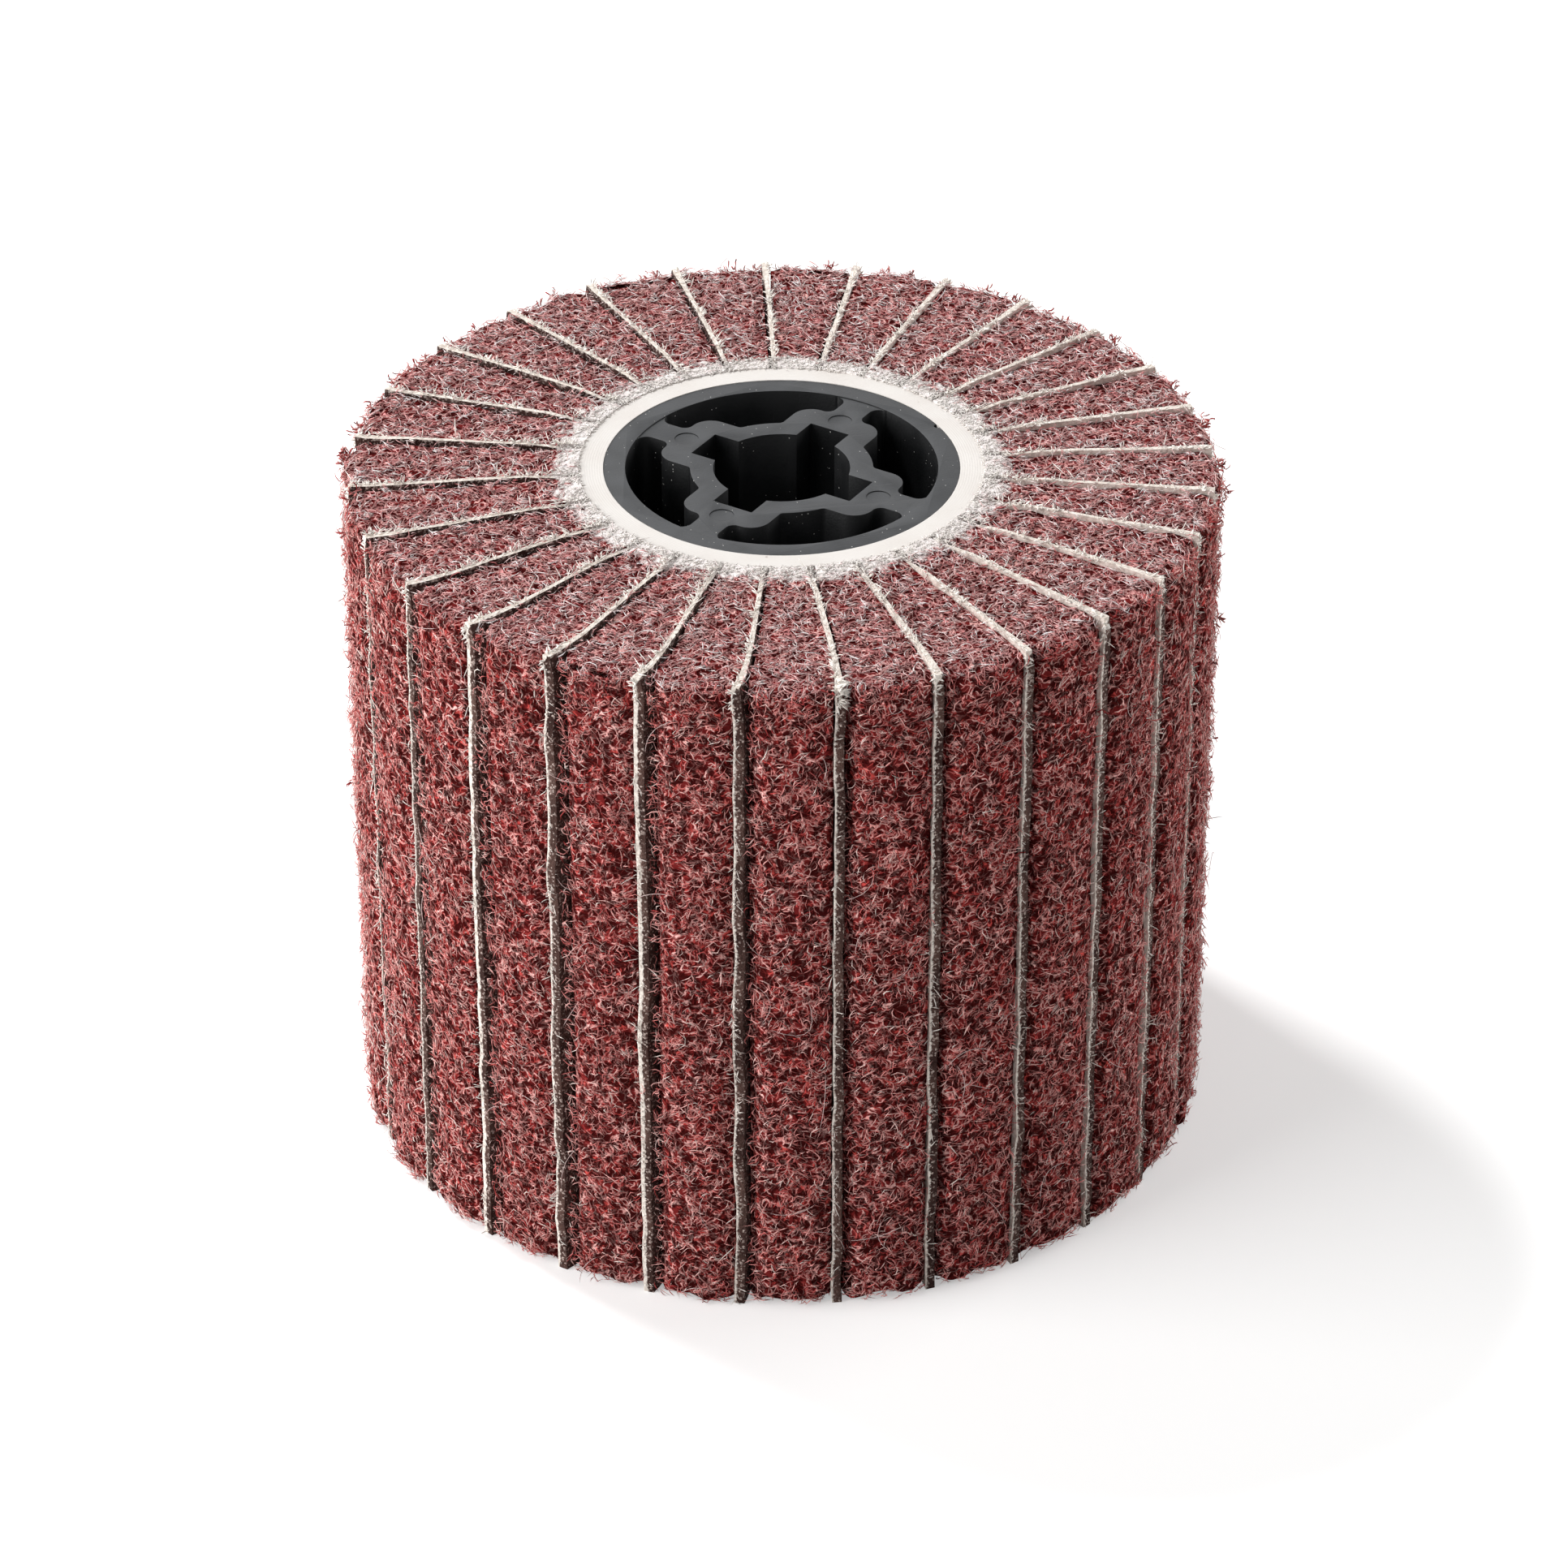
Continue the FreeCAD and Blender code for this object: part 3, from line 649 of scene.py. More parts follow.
def frayed_hairs(edge, chance):
    """Single hairs, and tufts of a few, that fray from a flap's cut edges."""
    count, end_count = len(edge["spots"]), edge["end_count"]
    tufts = chance.integers(0, count, HAIR_TUFTS)
    on_end = chance.integers(0, end_count, HAIRS_ON_END)
    on_side = chance.integers(2 * end_count, count, HAIRS_ON_SIDE)
    in_tufts = np.repeat(tufts, HAIRS_IN_TUFT) + chance.integers(*NEIGHBOURS, HAIR_TUFTS * HAIRS_IN_TUFT)
    picked = np.concatenate([on_end, on_side, np.clip(in_tufts, 0, count - 1)])
    hairs = len(picked)
    root, outward = edge["spots"][picked], edge["outward"][picked]
    sideways = edge["across"] * chance.normal(0, 0.7, (hairs, 1))
    sideways = sideways + edge["way"][picked] * chance.normal(0, 0.9, (hairs, 1))
    way = unit(outward * chance.uniform(0.15, 0.9, (hairs, 1)) + sideways)
    length = np.exp(chance.normal(math.log(HAIR_LENGTH), HAIR_LENGTH_SPREAD, (hairs, 1)))
    droop = unit(chance.normal(0, 1, (hairs, 3))) * length * 0.3
    centres = np.stack([root - outward * HAIR_SINK, root + way * length * 0.4,
                        root + way * length * 0.75 + droop * 0.5, root + way * length + droop], axis=1)
    centres[:, :, 2] = np.clip(centres[:, :, 2], LOWEST_HAIR, HIGHEST_THREAD)
    colour = YARN_CREAM * chance.uniform(0.8, 1.15, (hairs, 1))
    return centres, np.full(hairs, HAIR_THICKNESS), outward, 3, colour


def split_ends(edge, fluffy, chance):
    """Bundles of threads split from the cut edges, with more and longer ones at a fluffy corner."""
    count, end_count = len(edge["spots"]), edge["end_count"]
    at_corner = [end_count - 1, count - 1, count - 2] * (FLUFFY_SPLITS if fluffy else 1)
    places = np.concatenate([chance.integers(0, end_count, SPLIT_ENDS), at_corner])
    threads = THREADS_IN_SPLIT * len(places)
    picked = np.repeat(places, THREADS_IN_SPLIT) + chance.integers(*NEIGHBOURS, threads)
    picked = np.clip(picked, 0, count - 1)
    fluffed = fluffy * (np.arange(threads) >= THREADS_IN_SPLIT * SPLIT_ENDS)[:, None]
    spots, outward = edge["spots"][picked], edge["outward"][picked]
    sideways = edge["across"] * (chance.normal(-0.2, 0.8, (threads, 1)) + FLUFFY_LEAN * fluffed)
    sideways = sideways + edge["way"][picked] * chance.normal(0, 0.6, (threads, 1))
    way = unit(outward * chance.uniform(0.1, 0.7, (threads, 1)) + sideways)
    length = chance.uniform(*SPLIT_LENGTH, (threads, 1)) * (1 + FLUFFY_LENGTHENING * fluffed)
    centres = np.stack([spots + way * length * step for step in (-0.2, 0.25, 0.65, 1.0)], axis=1)
    centres[:, :, 2] = np.clip(centres[:, :, 2], LOWEST_SPLIT, HIGHEST_THREAD)
    colour = YARN_CREAM * chance.uniform(0.85, 1.05, (threads, 1))
    thickness = SPLIT_THICKNESS * chance.uniform(0.7, 1.3, threads)
    return centres, thickness, outward, 3, colour


for number, line in enumerate(flap_lines, start=1):
    node = f"cloth_flap_{number:02d}"
    cloth = merged_copy(node, f"cloth_sheet_{number:02d}")
    cut_level(cloth, np.linspace(0, CLOTH_LENGTH, CLOTH_ROWS + 1)[1:-1],
              lambda level: (0, 0, level), (0, 0, 1))
    cut_level(cloth, np.linspace(*CLOTH_CUTS_BETWEEN, CLOTH_COLUMNS),
              lambda level: (*point_on_flap(line, [level])[0], 0), (*line["along"], 0))
    side_of_cloth = wear_cloth(cloth, number, line)
    values = cloth.data.attributes.new("across", "FLOAT", "POINT")
    values.data.foreach_set("value", side_of_cloth)
    ease_flat(cloth)
    cloth.data.materials.append(abrasive)
    chance = np.random.default_rng(CLOTH_SEED + number)
    rope, edge = yarn_rope(number, line, chance)
    threads = [rope, frayed_hairs(edge, chance), split_ends(edge, number == FLUFFY_CORNER, chance)]
    fray = thread_piece(f"fray_{number:02d}", threads, yarn)
    join_pieces(cloth, [fray])
    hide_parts(node)
    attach(cloth, "root")

# Web flaps
# Each is a block of open nonwoven mat, crimped nylon fibres bonded with maroon resin and grain.
# It fills the room between two cloth flaps, and white casting resin has soaked into its root.
WEB_SEED = 900
WHEEL_TOP = 0.100
WEB_OUTSIDE = 0.0598
WEB_INSIDE = 0.0284
WEB_ROWS = 30
WEB_COLUMNS = 12
WEB_CUTS_BETWEEN = (0.0305, 0.0570)
RIM_CUTS = (0.0582, 0.0592)
RIM_ROW_SHARE = 0.35
SIDE_CUTS = (-0.004, -0.002, 0.0, 0.002, 0.004)
MAT_GAPS = (0.0005, 0.0005)
WEB_SINK = 0.00050
WEB_UNEVENNESS = 0.00050
WEB_BULGE = 0.0012
RIM_ROUNDING = 0.0018
RIM_LUMPS = 0.0009
END_EASE_RAMP = (0.0300, 0.0035)
SIDE_EASE_RAMP = (0.0560, 0.0015)
WEB_SMOOTH_ANGLE = math.radians(35)
END_FACE_TILT = 0.6
OUTSIDE_FACE_TILT = 0.5
SIDE_FIBRES = 3.55e6
SIDE_FIBRE_GAPS = (0.0010, 0.0006)
GROOVE_LEFT_OPEN = 0.55
WEB_EDGE_ROUNDING = 0.0022
TOP_FIBRES = 5.0e6
BOTTOM_FIBRES = 0.4e6
END_FIBRE_GAPS = (-0.0001, 0.0004)
END_FIBRES_FROM = 0.0281
FIBRE_LENGTH = 0.00180
FIBRE_LENGTH_SPREAD = 0.30
SHORTEST_FIBRE = 0.0007
LONGEST_FIBRE = 0.0036
FIBRE_THICKNESS = 0.000080
FIBRE_ROOTS = (-0.00080, -0.00010)
FIBRE_SPRING = 0.00030
LOW_FIBRE_RISE = 0.00045
HIGH_FIBRE_RISE = 0.00060
LOW_FIBRES = 0.75
LOWEST_FIBRE = 0.00010
PIT_DEPTH = 0.0004
PIT_FIBRES_LEFT = 0.12
CROSSING_GAPS = (-0.00015, 0.00030)
CROSSING_LEFT_ON_SIDE = 0.45
CROSSING_LEFT_ON_END = 0.12
SOAKED_WITHIN = 0.0321
SOAK_SPREAD = 0.0013
SOAK_FADE = 0.0009
MOST_SOAKED = 0.95
SOAKED_FIBRES_GONE = 0.62
RESIN_CRUMBS = 190
CRUMBS_FROM = 0.0280
CRUMBS_SPREAD = 0.0019
CRUMB_GAPS = (-0.0003, -0.0003)
CRUMB_SINK = 0.0002
CRUMB_HALF_LENGTH = (0.0002, 0.0007)
CRUMB_BULGE = 0.00012
CRUMB_THICKNESS = (0.00006, 0.00014)
RIM_TUFTS = 12
TUFT_FIBRES = 6
TUFTS_DOWN_TO = 0.55
TUFT_SINK = 0.0003
TUFT_LENGTH = (0.0007, 0.0015)
TUFT_WIDTH = 0.00028
TUFT_THICKNESS = (0.00009, 0.00016)
TUFT_RIDGE = 0.35
STRAY_HAIRS = 7
STRAY_STATIONS = 8
STRAY_RISE = 0.0011
STRAY_SPRING = 0.0004
STRAY_LENGTHENING = 3.2
STRAY_THICKNESS = 0.00005
LOWEST_STRAY = 0.00005
STRAY_PINK = (0.74, 0.62, 0.60)
MAROON = np.array([0.61, 0.075, 0.073])
# The top's red and pale colours are lighter than the sides': painted sheen where the high lamp catches the
# ends.
TOP_SHEEN_RED = np.array([0.76, 0.255, 0.255])
ROSE = np.array([1.00, 0.585, 0.54])
TOP_SHEEN_PALE = np.array([1.00, 0.86, 0.835])
SOAKED = np.array([0.98, 0.92, 0.90])
# A look is a red, a pale colour, the pale one's share, and how much darker the pits are painted, as painted
# shade.
SIDE_LOOK = (MAROON, ROSE, 0.58, 0.66)
TOP_LOOK = (TOP_SHEEN_RED, TOP_SHEEN_PALE, 0.60, 0.32)
BOTTOM_LOOK = (MAROON, ROSE, 0.45, 0.50)
TUFT_LOOK = (MAROON, ROSE, 0.35, 0.50)
BRIGHTEST_FIBRE = 0.96
MAROON_FIBRE = (0.56, 0.062, 0.060, 1)
BRIGHT_RED_FIBRE = (0.64, 0.092, 0.078, 1)
TOP_SHEEN_FIBRE = (0.76, 0.36, 0.36, 1)
ROSE_FIBRE = (0.98, 0.55, 0.51, 1)
# The pit colours are painted shade: the mat's hollows are darkened in colour.
PIT_SHADE_DARK = (0.045, 0.005, 0.005, 1)
PIT_SHADE_RED = (0.17, 0.017, 0.017, 1)
FIBRE_SHADOW = (0.38, 0.055, 0.055, 1)
SOAKED_ROOT = (0.97, 0.91, 0.89, 1)
MAT_RELIEF = 0.00035
FIBRE_RELIEF = 0.00006
# The fineness, slimness and level of each layer of fibres drawn on the mat, from the lowest up.
DRAWN_LAYERS = ((760.0, 0.10, 0.25), (690.0, 0.10, 0.40), (620.0, 0.09, 0.55), (560.0, 0.085, 0.70),
                (640.0, 0.085, 0.80))


def vector_step(tree, operation, first, second=(0, 0, 0), scale=1.0):
    return put_node(tree, "ShaderNodeVectorMath", {0: first, 1: second, 3: scale},
                    operation=operation).outputs[0]


def build_fibre_layer():
    """One layer of short fibres laid over the colour and height beneath it."""
    group, given = new_effect(
        "fibre_layer",
        [("Place", "NodeSocketVector", None), ("Fineness", "NodeSocketFloat", 600.0),
         ("Slimness", "NodeSocketFloat", 0.06), ("Level", "NodeSocketFloat", 0.5),
         ("Colour Beneath", "NodeSocketColor", None), ("Height Beneath", "NodeSocketFloat", 0.0),
         ("Red", "NodeSocketColor", MAROON_FIBRE), ("Pale", "NodeSocketColor", ROSE_FIBRE)],
        [("Colour", "NodeSocketColor"), ("Height", "NodeSocketFloat")])
    finer = calculate(group, "MULTIPLY", given["Fineness"], 1.1)
    ripple = put_node(group, "ShaderNodeTexNoise", {"Vector": given["Place"], "Scale": finer, "Detail": 1.0},
                      noise_dimensions="2D").outputs["Color"]
    centred = vector_step(group, "SUBTRACT", ripple, (0.5, 0.5, 0.5))
    curl = vector_step(group, "SCALE", centred, scale=calculate(group, "DIVIDE", 0.9, given["Fineness"]))
    bent = vector_step(group, "ADD", given["Place"], curl)
    cell = put_node(group, "ShaderNodeTexVoronoi", {"Vector": bent, "Scale": given["Fineness"]},
                    voronoi_dimensions="2D").outputs
    from_middle = vector_step(group, "SUBTRACT", bent, cell["Position"])
    in_cells = vector_step(group, "SCALE", from_middle, scale=given["Fineness"])
    chance = put_node(group, "ShaderNodeSeparateColor", {"Color": cell["Color"]}).outputs
    turned = put_node(group, "ShaderNodeVectorRotate",
                      {"Vector": in_cells, "Angle": calculate(group, "MULTIPLY", chance[0], math.tau)},
                      rotation_type="Z_AXIS").outputs[0]
    reach = spread(group, calculate(group, "ABSOLUTE", part_of(group, turned, 0)), 0.62, 0.48)
    width = calculate(group, "DIVIDE", calculate(group, "ABSOLUTE", part_of(group, turned, 1)),
                      given["Slimness"])
    stroke = calculate(group, "MULTIPLY", reach, spread(group, width, 1.0, 0.35))
    fibre = blend_colours(group, spread(group, chance[1], 0.18, 0.80), given["Red"], given["Pale"])
    # Strokes that stand higher are painted brighter, so the lower ones carry painted shade.
    lit = calculate(group, "MULTIPLY_ADD", chance[2], 0.60, 0.65)
    shades = put_node(group, "ShaderNodeCombineColor", {0: lit, 1: lit, 2: lit}).outputs[0]
    shaded = blend_colours(group, 1.0, fibre, shades, "MULTIPLY")
    raised = calculate(group, "MULTIPLY", stroke,
                       calculate(group, "MULTIPLY_ADD", chance[2], 0.3, given["Level"]))
    put_node(group, "NodeGroupOutput",
             {"Colour": blend_colours(group, stroke, given["Colour Beneath"], shaded),
              "Height": calculate(group, "MAXIMUM", given["Height Beneath"], raised)})
    return group


fibre_layer = build_fibre_layer()
mat, tree, shader = new_finish("nonwoven_mat")
place = own_place(tree)
laid = put_node(tree, "ShaderNodeUVMap", uv_map="laid_flat").outputs[0]
patches = noise_field(tree, place, 150.0, 4.0)
pits = noise_field(tree, place, 750.0, 3.0)
# The lowest layer is painted darkest where the pits sink: painted shade in the hollows.
colour = blend_colours(tree, spread(tree, pits, 0.40, 0.62), PIT_SHADE_DARK, PIT_SHADE_RED)
height = calculate(tree, "MULTIPLY", pits, 0.3)
red = blend_colours(tree, spread(tree, patches, 0.3, 0.7), MAROON_FIBRE, BRIGHT_RED_FIBRE)
is_end = end_share(tree)
# Faces that look up or down are painted a paler red: painted sheen.
red = blend_colours(tree, calculate(tree, "MULTIPLY", is_end, 0.75), red, TOP_SHEEN_FIBRE)
for layer, (fineness, slimness, level) in enumerate(DRAWN_LAYERS):
    shifted = vector_step(tree, "ADD", laid, (0.31 * layer + 0.07, 0.17 * layer, 0))
    strokes = put_node(tree, "ShaderNodeGroup",
                       {"Place": shifted, "Fineness": fineness, "Slimness": slimness, "Level": level,
                        "Colour Beneath": colour, "Height Beneath": height, "Red": red},
                       node_tree=fibre_layer)
    colour, height = strokes.outputs["Colour"], strokes.outputs["Height"]
# Open pits are painted dark: painted shade in the hollows, stronger on the web's outside than on its ends.
open_share = spread(tree, pits, 0.54, 0.44)
open_pit_shade = calculate(tree, "MULTIPLY", open_share, spread(tree, is_end, 0.0, 1.0, 0.88, 0.45))
colour = blend_colours(tree, open_pit_shade, colour, PIT_SHADE_DARK)
soaked = calculate(tree, "MULTIPLY", soaked_at(tree, place), spread(tree, height, 0.0, 0.5, 0.82, 1.0))
height = calculate(tree, "MULTIPLY_ADD", open_share, -0.8, height)
height = calculate(tree, "MULTIPLY", height, spread(tree, soaked, 0.0, 1.0, 1.0, 0.25))
finish_with(tree, shader, blend_colours(tree, soaked, colour, SOAKED_ROOT),
            spread(tree, patches, 0.3, 0.7, 0.55, 0.75), height, MAT_RELIEF)
shader.inputs["Specular IOR Level"].default_value = 0.0

fibre, tree, shader = new_finish("loose_fibre")
dyed = put_node(tree, "ShaderNodeAttribute", attribute_name="thread_colour").outputs["Color"]
grit = noise_field(tree, own_place(tree), 5200.0)
# Fibres are painted darker towards the fibre shadow colour where the fine noise is low: painted shade along
# them.
dark = blend_colours(tree, spread(tree, grit, 0.30, 0.62, 0.45, 0.0), dyed, FIBRE_SHADOW)
finish_with(tree, shader, dark, spread(tree, grit, 0.3, 0.7, 0.45, 0.7), grit, FIBRE_RELIEF)
shader.inputs["Specular IOR Level"].default_value = 0.07


def web_edges(near, far, reach, near_gap, far_gap):
    """Angles of a web's two sides at these distances from the axis."""
    near_point, far_point = point_on_flap(near, reach), point_on_flap(far, reach)
    low = np.arctan2(near_point[:, 1], near_point[:, 0]) + near_gap / reach
    high = np.arctan2(far_point[:, 1], far_point[:, 0]) - far_gap / reach
    return low, low + (high - low) % math.tau


def outside_edges(near, far, near_gap, far_gap):
    """Angles of a web's two sides at its outside."""
    low, high = web_edges(near, far, np.array([WEB_OUTSIDE]), near_gap, far_gap)
    return low[0], high[0]


def mat_relief(spot):
    """How far the mat's surface rises or sinks at a place."""
    x, y, z = spot
    return WEB_UNEVENNESS * (waver(x, y, z, 520.0, 3) + 0.6 * waver(x, y, z, 190.0, 9))


def worn_surface(points, lift, edges):
    """Moves points of a web's ideal surface onto its rounded, lumpy one. Gives them and the way out."""
    reach = np.hypot(points[:, 0], points[:, 1])
    radial = np.c_[points[:, 0] / reach, points[:, 1] / reach, np.zeros(len(points))]
    end_way = np.sign(points[:, 2] - WHEEL_TOP / 2)
    near_side = np.clip((reach - WEB_OUTSIDE) / RIM_ROUNDING + 1, 0, 1)
    near_end = np.clip((np.abs(points[:, 2] - WHEEL_TOP / 2) - WHEEL_TOP / 2) / RIM_ROUNDING + 1, 0, 1)
    length = np.maximum(np.hypot(near_side, near_end), 1e-9)
    pull = (np.maximum(near_side, near_end) / length - 1) * RIM_ROUNDING
    upright = np.c_[np.zeros((len(points), 2)), end_way]
    angle = np.arctan2(points[:, 1], points[:, 0])
    share = np.clip((angle - edges[0]) % math.tau / (edges[1] - edges[0]), 0, 1)
    share = np.where((angle - edges[0]) % math.tau > math.pi, 0, share)
    bulge = WEB_BULGE * near_side * (1 - (2 * share - 1) ** 4)
    moved = points + radial * (pull * near_side + bulge)[:, None] + upright * (pull * near_end)[:, None]
    outward = unit(radial * near_side[:, None] + upright * near_end[:, None])
    rim = 0.25 + 0.75 * np.clip(np.minimum(near_side, near_end) * 1.6, 0, 1)
    relief = [mat_relief(spot) + RIM_LUMPS * lumpy * waver(*spot, 260.0, 5)
              for spot, lumpy in zip(moved, rim)]
    return moved + outward * (np.array(relief) + lift)[:, None], outward


def on_ridge(base):
    """From 0 in the mat's pits to 1 on its ridges."""
    return np.clip(0.5 + 1.5 * np.array([noise.noise(Vector(spot) * 800.0) for spot in base]), 0, 1)


def curved_fibres(base, outward, chance, stations, rise, spring, length_scale=1.0):
    """Middle lines of short curved fibres that start in the web and lie along its surface."""
    count = len(base)
    sideways = unit(np.cross(outward, unit(chance.normal(0, 1, (count, 3)))))
    beside = np.cross(outward, sideways)
    length = np.exp(chance.normal(math.log(FIBRE_LENGTH), FIBRE_LENGTH_SPREAD, (count, 1)))
    length = np.clip(length, SHORTEST_FIBRE, LONGEST_FIBRE) * length_scale
    bow = chance.normal(0, 1.0, (count, 1))
    start = chance.uniform(*FIBRE_ROOTS, (count, 1))
    finish = start + np.abs(chance.normal(rise, spring, (count, 1)))
    steps = np.linspace(-0.5, 0.5, stations)
    lines = [base + sideways * length * step + beside * length * bow * (0.25 - step ** 2)
             + outward * (start + (finish - start) * (step + 0.5) ** 0.8) for step in steps]
    return np.stack(lines, axis=1)


def fibre_colours(count, look, soaked_share, ridge, chance):
    """Fibre colours of a look, painted darker in the mat's pits as shade, and white where resin has soaked
    them.
    """
    red, pale, pale_share, depth = look
    tone = np.clip(chance.normal(pale_share, 0.38, (count, 1)), 0, 1)
    lit = 1 - depth + 1.15 * depth * ridge[:, None]
    shade = (0.76 + 0.48 * tone) * chance.uniform(0.85, 1.20, (count, 1)) * lit
    colour = (red * (1 - tone) + pale * tone) * shade
    return np.clip(colour * (1 - soaked_share) + SOAKED * soaked_share, 0, BRIGHTEST_FIBRE)


def crosses_cloth(lines, near, far):
    """True for each fibre that reaches over one of the two cloth flaps beside its web."""
    spots = lines.reshape(-1, 3)
    low, high = web_edges(near, far, np.hypot(spots[:, 0], spots[:, 1]), *CROSSING_GAPS)
    from_middle = np.arctan2(spots[:, 1], spots[:, 0]) - (low + high) / 2
    from_middle = (from_middle + math.pi) % math.tau - math.pi
    over = np.abs(from_middle) > (high - low) / 2
    return over.reshape(lines.shape[:2]).any(axis=1)


def fibres_over(base, reach, look, edges, near, far, chance):
    """Fibres that start at these places of a web's outside, or of an end when reach is given."""
    ridge = on_ridge(base)
    kept = chance.uniform(0, 1, len(base)) < PIT_FIBRES_LEFT + (1 - PIT_FIBRES_LEFT) * ridge
    base, outward = worn_surface(base, -PIT_DEPTH * (1 - ridge), edges)
    base, outward, ridge = base[kept], outward[kept], ridge[kept]
    count = len(base)
    soaked, crossing_left = np.zeros(count), CROSSING_LEFT_ON_SIDE
    if reach is not None:
        in_resin = SOAKED_WITHIN - reach[kept] + chance.normal(0, SOAK_SPREAD, count)
        soaked, crossing_left = np.clip(in_resin / SOAK_FADE, 0, MOST_SOAKED), CROSSING_LEFT_ON_END
    order = chance.permutation(count)
    split = int(count * LOW_FIBRES)
    batches = []
    for picked, stations, rise in ((order[:split], 3, LOW_FIBRE_RISE), (order[split:], 4, HIGH_FIBRE_RISE)):
        lines = curved_fibres(base[picked], outward[picked], chance, stations, rise, FIBRE_SPRING)
        lines[:, :, 2] = np.clip(lines[:, :, 2], LOWEST_FIBRE, None)
        thickness = FIBRE_THICKNESS * chance.uniform(0.75, 1.25, len(picked))
        soak = soaked[picked]
        colours = fibre_colours(len(picked), look, soak[:, None], ridge[picked], chance)
        stays = chance.uniform(0, 1, len(picked)) < crossing_left + soak
        stays |= ~crosses_cloth(lines, near, far)
        stays &= chance.uniform(0, 1, len(picked)) > SOAKED_FIBRES_GONE * soak
        batches.append((lines[stays], thickness[stays], outward[picked][stays], 3, colours[stays]))
    return batches


def resin_crumbs(near, far, chance):
    """Crumbs of white resin on top of a web's root."""
    reach = CRUMBS_FROM + np.abs(chance.normal(0, CRUMBS_SPREAD, RESIN_CRUMBS))
    low, high = web_edges(near, far, reach, *CRUMB_GAPS)
    angle = low + (high - low) * chance.uniform(0, 1, RESIN_CRUMBS)
    height = WHEEL_TOP - chance.uniform(0, CRUMB_SINK, RESIN_CRUMBS)
    spot = np.c_[reach * np.cos(angle), reach * np.sin(angle), height]
    turn = chance.uniform(0, math.tau, RESIN_CRUMBS)
    way = np.c_[np.cos(turn), np.sin(turn), chance.uniform(-0.1, 0.3, RESIN_CRUMBS)]
    half = chance.uniform(*CRUMB_HALF_LENGTH, (RESIN_CRUMBS, 1))
    lines = np.stack([spot - way * half, spot + [0, 0, CRUMB_BULGE], spot + way * half], axis=1)
    upright = np.repeat([[0.0, 0.0, 1.0]], RESIN_CRUMBS, axis=0)
    thickness = chance.uniform(*CRUMB_THICKNESS, RESIN_CRUMBS)
    return lines, thickness, upright, 3, np.tile(SOAKED, (RESIN_CRUMBS, 1))


def rim_tufts(edges, chance):
    """Tufts of fibre that stand out of a web's outside, closer together towards the top."""
    spots = chance.uniform(0.0, 1.0, (RIM_TUFTS, 2))
    angle = edges[0] + (edges[1] - edges[0]) * spots[:, 0]
    height = WHEEL_TOP * (1 - TUFTS_DOWN_TO * spots[:, 1] ** 3)
    base, outward = worn_surface(np.c_[np.cos(angle) * WEB_OUTSIDE, np.sin(angle) * WEB_OUTSIDE, height],
                                 np.full(RIM_TUFTS, -TUFT_SINK), edges)
    base, outward = np.repeat(base, TUFT_FIBRES, axis=0), np.repeat(outward, TUFT_FIBRES, axis=0)
    count = len(base)
    way = unit(outward + chance.normal(0, 0.55, (count, 3)))
    length = chance.uniform(*TUFT_LENGTH, (count, 1))
    curl = unit(chance.normal(0, 1, (count, 3))) * length * 0.35
    start = base + chance.normal(0, TUFT_WIDTH, (count, 3))
    lines = np.stack([start, start + way * length * 0.4 + curl, start + way * length * 0.8 + curl * 0.8,
                      start + way * length], axis=1)
    lines[:, :, 2] = np.clip(lines[:, :, 2], LOWEST_FIBRE, None)
    # Tufts get the painted pit shade of a middling ridge.
    colours = fibre_colours(count, TUFT_LOOK, 0.0, np.full(count, TUFT_RIDGE), chance)
    return lines, chance.uniform(*TUFT_THICKNESS, count), outward, 3, colours


def stray_hairs(outside, edges, chance):
    """Long pale hairs that lie loosely over a web's outside."""
    base, outward = worn_surface(outside[chance.integers(0, len(outside), STRAY_HAIRS)],
                                 np.zeros(STRAY_HAIRS), edges)
    lines = curved_fibres(base, outward, chance, STRAY_STATIONS, STRAY_RISE, STRAY_SPRING, STRAY_LENGTHENING)
    lines[:, :, 2] = np.clip(lines[:, :, 2], LOWEST_STRAY, None)
    colours = np.repeat([STRAY_PINK], STRAY_HAIRS, axis=0)
    return lines, np.full(STRAY_HAIRS, STRAY_THICKNESS), outward, 3, colours


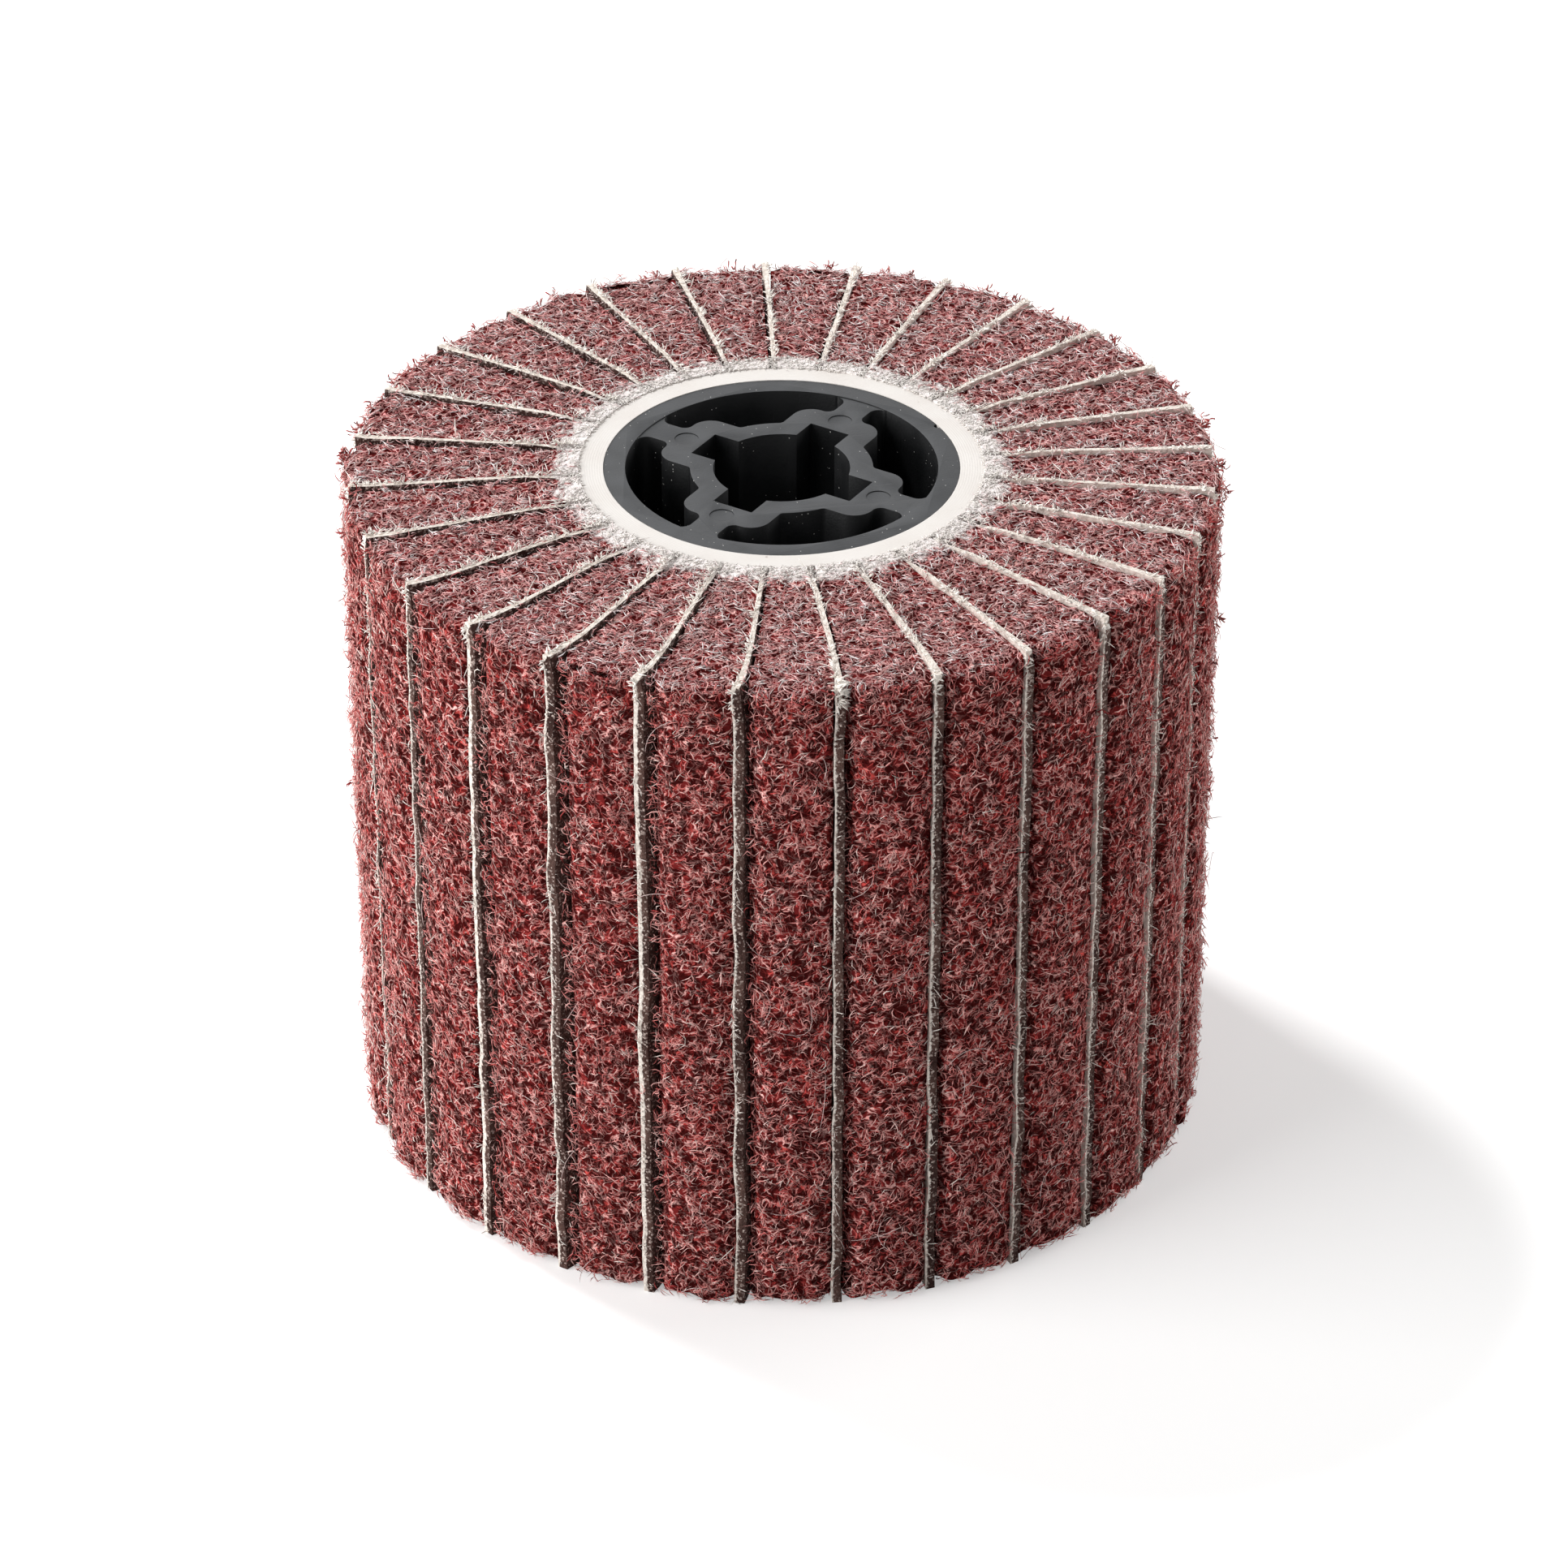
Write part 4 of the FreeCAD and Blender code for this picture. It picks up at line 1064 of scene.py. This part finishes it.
def scattered_fibres(near, far, chance):
    """The loose fibres of a web's outside and both its ends, and the crumbs of resin on its root."""
    edges = outside_edges(near, far, *SIDE_FIBRE_GAPS)
    width = edges[1] - edges[0]
    count = int(width * WEB_OUTSIDE * WHEEL_TOP * SIDE_FIBRES)
    turn = width * chance.uniform(0, 1, count)
    angle = edges[0] + turn
    worn = np.clip(WEB_EDGE_ROUNDING - (angle - edges[0]) * WEB_OUTSIDE, 0, WEB_EDGE_ROUNDING)
    drop = WEB_EDGE_ROUNDING - np.sqrt(WEB_EDGE_ROUNDING ** 2 - worn ** 2)
    reach = WEB_OUTSIDE - drop * GROOVE_LEFT_OPEN
    outside = np.c_[np.cos(angle) * reach, np.sin(angle) * reach, chance.uniform(0.0, WHEEL_TOP, count)]

    ends = []
    end_area = math.pi * (WEB_OUTSIDE ** 2 - WEB_INSIDE ** 2) / FLAP_COUNT
    for density, height, look in ((TOP_FIBRES, WHEEL_TOP, TOP_LOOK), (BOTTOM_FIBRES, 0.0, BOTTOM_LOOK)):
        count = int(end_area * density)
        reach = np.sqrt(chance.uniform(END_FIBRES_FROM ** 2, WEB_OUTSIDE ** 2, count))
        low, high = web_edges(near, far, reach, *END_FIBRE_GAPS)
        angle = low + (high - low) * chance.uniform(0, 1, count)
        base = np.c_[reach * np.cos(angle), reach * np.sin(angle), np.full(count, height)]
        ends.append((base, reach, look))

    fibres = []
    for base, reach, look in [(outside, None, SIDE_LOOK)] + ends:
        fibres += fibres_over(base, reach, look, edges, near, far, chance)
    crumbs = resin_crumbs(near, far, chance)
    fibres += [rim_tufts(edges, chance), stray_hairs(outside, edges, chance)]
    return fibres, [crumbs]


def wear_mat(web, near, far):
    """Bends a web's mat to its two cloth flaps, then rounds and roughens what stands free."""
    places = np.array([corner.co for corner in web.data.vertices])
    reach = np.hypot(places[:, 0], places[:, 1])
    near_edge, far_edge = web_edges(near, far, reach, *MAT_GAPS)
    angle = np.arctan2(places[:, 1], places[:, 0])
    share = np.clip(((angle - near_edge + math.pi) % math.tau - math.pi) / (far_edge - near_edge), 0, 1)
    places[:, :2] += (near["across"] * ((1 - share) * from_fold_to_curve(near, reach))[:, None]
                      + far["across"] * (share * from_fold_to_curve(far, reach))[:, None])
    edges = outside_edges(near, far, *MAT_GAPS)
    moved = worn_surface(places, np.full(len(places), -WEB_SINK), edges)[0]
    on_end = np.abs(np.abs(places[:, 2] - WHEEL_TOP / 2) - WHEEL_TOP / 2) < LEVEL_TOLERANCE
    ease = np.where(on_end, ramp(reach, *END_EASE_RAMP), ramp(reach, *SIDE_EASE_RAMP))
    moved = places + (moved - places) * ease[:, None]
    moved[:, 2] = np.clip(moved[:, 2], 0.0, None)
    for corner, spot in zip(web.data.vertices, moved):
        corner.co = spot


def lay_flat(piece):
    """A UV map in metres: along the rim and up on the outside, and across the wheel on its ends."""
    mesh = piece.data
    layer = mesh.uv_layers.new(name="laid_flat")
    for face in mesh.polygons:
        middle_angle = math.atan2(face.center.y, face.center.x)
        outward = face.normal.x * math.cos(middle_angle) + face.normal.y * math.sin(middle_angle)
        for corner in face.loop_indices:
            spot = mesh.vertices[mesh.loops[corner].vertex_index].co
            if abs(face.normal.z) > END_FACE_TILT:
                layer.data[corner].uv = (spot.x, spot.y)
            elif outward > OUTSIDE_FACE_TILT:
                turn = (math.atan2(spot.y, spot.x) - middle_angle + math.pi) % math.tau - math.pi
                layer.data[corner].uv = ((middle_angle + turn) * WEB_OUTSIDE, spot.z)
            else:
                layer.data[corner].uv = (math.hypot(spot.x, spot.y), spot.z)


for number, near in enumerate(flap_lines, start=1):
    far = flap_lines[number % FLAP_COUNT]
    node = f"web_flap_{number:02d}"
    web = merged_copy(node, f"web_mat_{number:02d}")
    web.data.materials.append(mat)
    rows = np.linspace(RIM_ROUNDING, WHEEL_TOP - RIM_ROUNDING, WEB_ROWS + 1)
    rim_rows = (RIM_ROW_SHARE * RIM_ROUNDING, WHEEL_TOP - RIM_ROW_SHARE * RIM_ROUNDING)
    cut_level(web, np.concatenate([rows, rim_rows]), lambda level: (0, 0, level), (0, 0, 1))
    cut_level(web, np.concatenate([np.linspace(*WEB_CUTS_BETWEEN, WEB_COLUMNS), RIM_CUTS]),
              lambda level: (*point_on_flap(near, [level])[0], 0), (*near["along"], 0))
    middle = Vector((*(near["along"] + far["along"]), 0)).normalized()
    beside = Vector((-middle.y, middle.x, 0))
    cut_level(web, SIDE_CUTS, lambda level: beside * level, tuple(beside))
    wear_mat(web, near, far)
    ease_flat(web)
    pick_up(web)
    bpy.ops.object.shade_smooth_by_angle(angle=WEB_SMOOTH_ANGLE)
    lay_flat(web)
    chance = np.random.default_rng(WEB_SEED + number)
    fibres, crumbs = scattered_fibres(near, far, chance)
    fuzz = thread_piece(f"fuzz_{number:02d}", fibres, fibre)
    soaked_root = thread_piece(f"soaked_root_{number:02d}", crumbs, resin)
    join_pieces(web, [fuzz, soaked_root])
    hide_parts(node)
    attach(web, "root")
